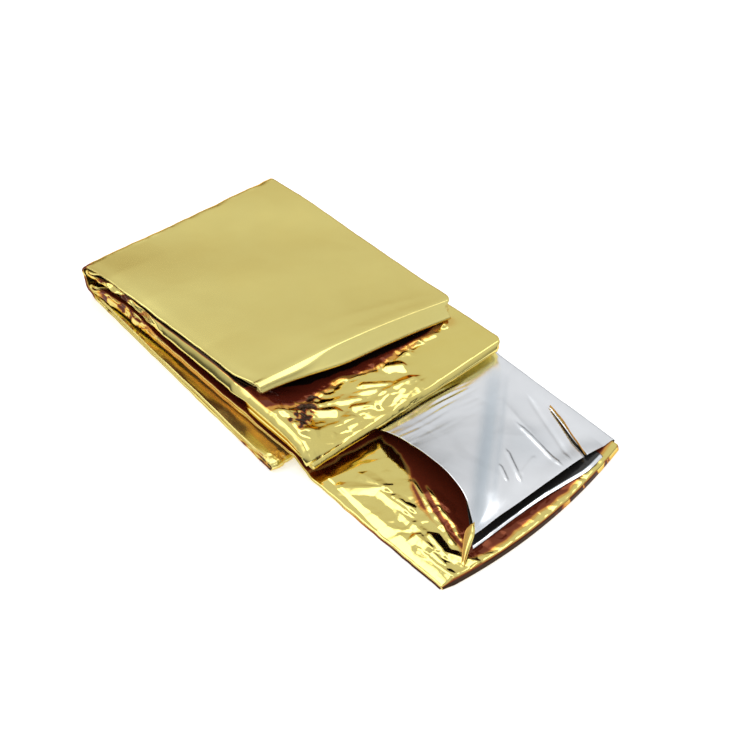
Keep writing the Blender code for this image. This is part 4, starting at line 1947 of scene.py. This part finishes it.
@dataclass(frozen=True)
class SoftBox:
    """A soft studio light, painted on the world as a bright patch with soft edges.

    Attributes:
        azimuth: Of its middle, in degrees from +x towards +y.
        elevation: Of its middle, in degrees.
        size: Half of its width and of its height, in degrees.
        edge: How far its edges fade, in degrees.
        radiance: Its brightness.
    """

    azimuth: float
    elevation: float
    size: Pair
    edge: float
    radiance: float

    def axes(self) -> tuple[Vector, Vector, Vector]:
        """The directions to its middle, along its width and up its height.

        Returns:
            Three unit vectors.
        """
        a, e = np.radians(self.azimuth), np.radians(self.elevation)
        middle = Vector((np.cos(a) * np.cos(e), np.sin(a) * np.cos(e), np.sin(e)))
        side = Vector((-np.sin(a), np.cos(a), 0.0))
        return middle, side, middle.cross(side)

    def edges(self, half: float) -> Pair:
        """The sines of the angles at which it begins and is full, by half its size."""
        inner = max(half - self.edge, NARROWEST_BOX)
        return float(np.sin(np.radians(half + self.edge))), float(np.sin(np.radians(inner)))


@dataclass
class Studio:
    """A pale floor, soft light all round and the camera.

    Angles are in degrees, the lens and sensor and the target in millimetres, the rest in metres.
    The sky gives the light's brightness by elevation.
    """

    azimuth: float = 49.0
    elevation: float = 38.5
    distance: float = 1.3
    lens: float = 150.0
    sensor: float = 36.0
    target: Triple = (122.0, 57.7, 0.0)
    bounces: int = 20
    boxes: tuple[SoftBox, ...] = (
        SoftBox(118.0, 63.0, (18.0, 9.0), 4.0, 2.1),
        SoftBox(182.0, 54.0, (15.0, 10.0), 5.0, 2.0),
        SoftBox(230.0, 42.0, (8.0, 10.0), 4.0, 1.6),
        SoftBox(20.0, 48.0, (8.0, 8.0), 4.0, 1.8),
    )
    sky: Profile = (
        (0.0, 7.0, 12.0, 17.0, 28.0, 38.0, 50.0, 70.0, 90.0),
        (0.10, 0.14, 0.5, 0.68, 0.78, 0.82, 0.80, 0.72, 0.62),
    )
    floor_radius: float = 4.0
    floor_drop: float = 0.0002
    floor_tone: float = 0.9
    floor_rough: float = 0.9
    floor_glow: float = 0.45

    def camera(self) -> None:
        """Sets up the camera."""
        a, e = np.radians(self.azimuth), np.radians(self.elevation)
        back = Vector((np.sin(a) * np.cos(e), -np.cos(a) * np.cos(e), np.sin(e)))
        data = bpy.data.cameras.new("camera")
        data.lens = self.lens
        data.sensor_width = self.sensor
        data.clip_start = 0.01
        made = placed("camera", data)
        target = Vector((np.array(self.target) - ORIGIN) * METRE)
        made.location = target + back * self.distance
        made.rotation_euler = (-back).to_track_quat("-Z", "Y").to_euler()
        bpy.context.scene.camera = made

    def world(self) -> None:
        """Paints the light: a ramp of brightness by elevation, and the soft boxes on it."""
        world = bpy.data.worlds.new("studio")
        world.use_nodes = True
        bpy.context.scene.world = world
        nodes = Nodes(world.node_tree)
        place = nodes.add("ShaderNodeTexCoord").outputs["Generated"]
        toward = nodes.add("ShaderNodeVectorMath", {0: place}, operation="NORMALIZE").outputs[0]
        height = nodes.add("ShaderNodeSeparateXYZ", {0: toward}).outputs["Z"]
        angle = nodes.math("DIVIDE", nodes.math("ARCSINE", height), np.pi / 2)
        stops = tuple((elevation / 90.0, (tone,) * 3) for elevation, tone in zip(*self.sky))
        level = nodes.ramp(angle, stops)
        for box in self.boxes:
            level = nodes.math("ADD", level, self.patch(nodes, toward, box))
        seen = nodes.add("ShaderNodeLightPath").outputs["Is Camera Ray"]
        backdrop = nodes.math("MULTIPLY_ADD", seen, nodes.math("SUBTRACT", 1.0, level), level)
        nodes.feed(world.node_tree.nodes["Background"], "Color", backdrop)

    def patch(
        self, nodes: Nodes, toward: bpy.types.NodeSocket, box: SoftBox
    ) -> bpy.types.NodeSocket:
        """The light of a soft box in a direction.

        Args:
            nodes: The world's nodes.
            toward: The direction.
            box: The soft box.

        Returns:
            Its radiance there, and zero outside it.
        """
        middle, side, up = box.axes()
        inside = 1.0
        for axis, half in zip((side, up), box.size):
            off = nodes.math("ABSOLUTE", nodes.dot(toward, axis))
            settings = {"interpolation_type": "SMOOTHSTEP"}
            edge = nodes.ranged(off, box.edges(half), (0.0, 1.0), **settings)
            inside = nodes.math("MULTIPLY", inside, edge)
        ahead = nodes.math("GREATER_THAN", nodes.dot(toward, middle), 0.0)
        return nodes.math("MULTIPLY", nodes.math("MULTIPLY", inside, ahead), box.radiance)

    def floor(self) -> None:
        """The floor: a wide pale disc."""
        angle = np.linspace(0.0, 2 * np.pi, 64, endpoint=False)
        rim = np.stack([np.cos(angle), np.sin(angle), 0 * angle], axis=1) * self.floor_radius
        data = bpy.data.meshes.new("floor")
        faces = [list(range(len(rim)))]
        data.from_pydata(rim - np.array([0.0, 0.0, self.floor_drop]), [], faces)
        material = bpy.data.materials.new("floor")
        material.use_nodes = True
        inputs = {
            "Base Color": (*(self.floor_tone,) * 3, 1.0),
            "Roughness": self.floor_rough,
            "Specular IOR Level": 0.0,
            "Emission Color": (1.0, 1.0, 1.0, 1.0),
            "Emission Strength": self.floor_glow,
        }
        for name, value in inputs.items():
            material.node_tree.nodes["Principled BSDF"].inputs[name].default_value = value
        data.materials.append(material)
        placed("floor", data)

    def build(self) -> None:
        """Sets up the camera, the light and the floor."""
        bpy.context.scene.view_settings.view_transform = "Standard"
        paths = getattr(bpy.context.scene, "cycles", None)
        if paths:
            paths.max_bounces = self.bounces
            paths.glossy_bounces = self.bounces
        self.camera()
        self.world()
        self.floor()


def main() -> None:
    """Builds every piece in order and reports each."""
    logging.basicConfig(level=logging.INFO, format="%(name)s: %(message)s")
    Studio().build()
    dresser = Dresser()
    strip = Strip()
    for part in (strip, LiftedPly(strip), TURNED_CORNER, MIDDLE_PLY, SLIT_LIP):
        part.build(dresser)


if __name__ == "__main__":
    main()
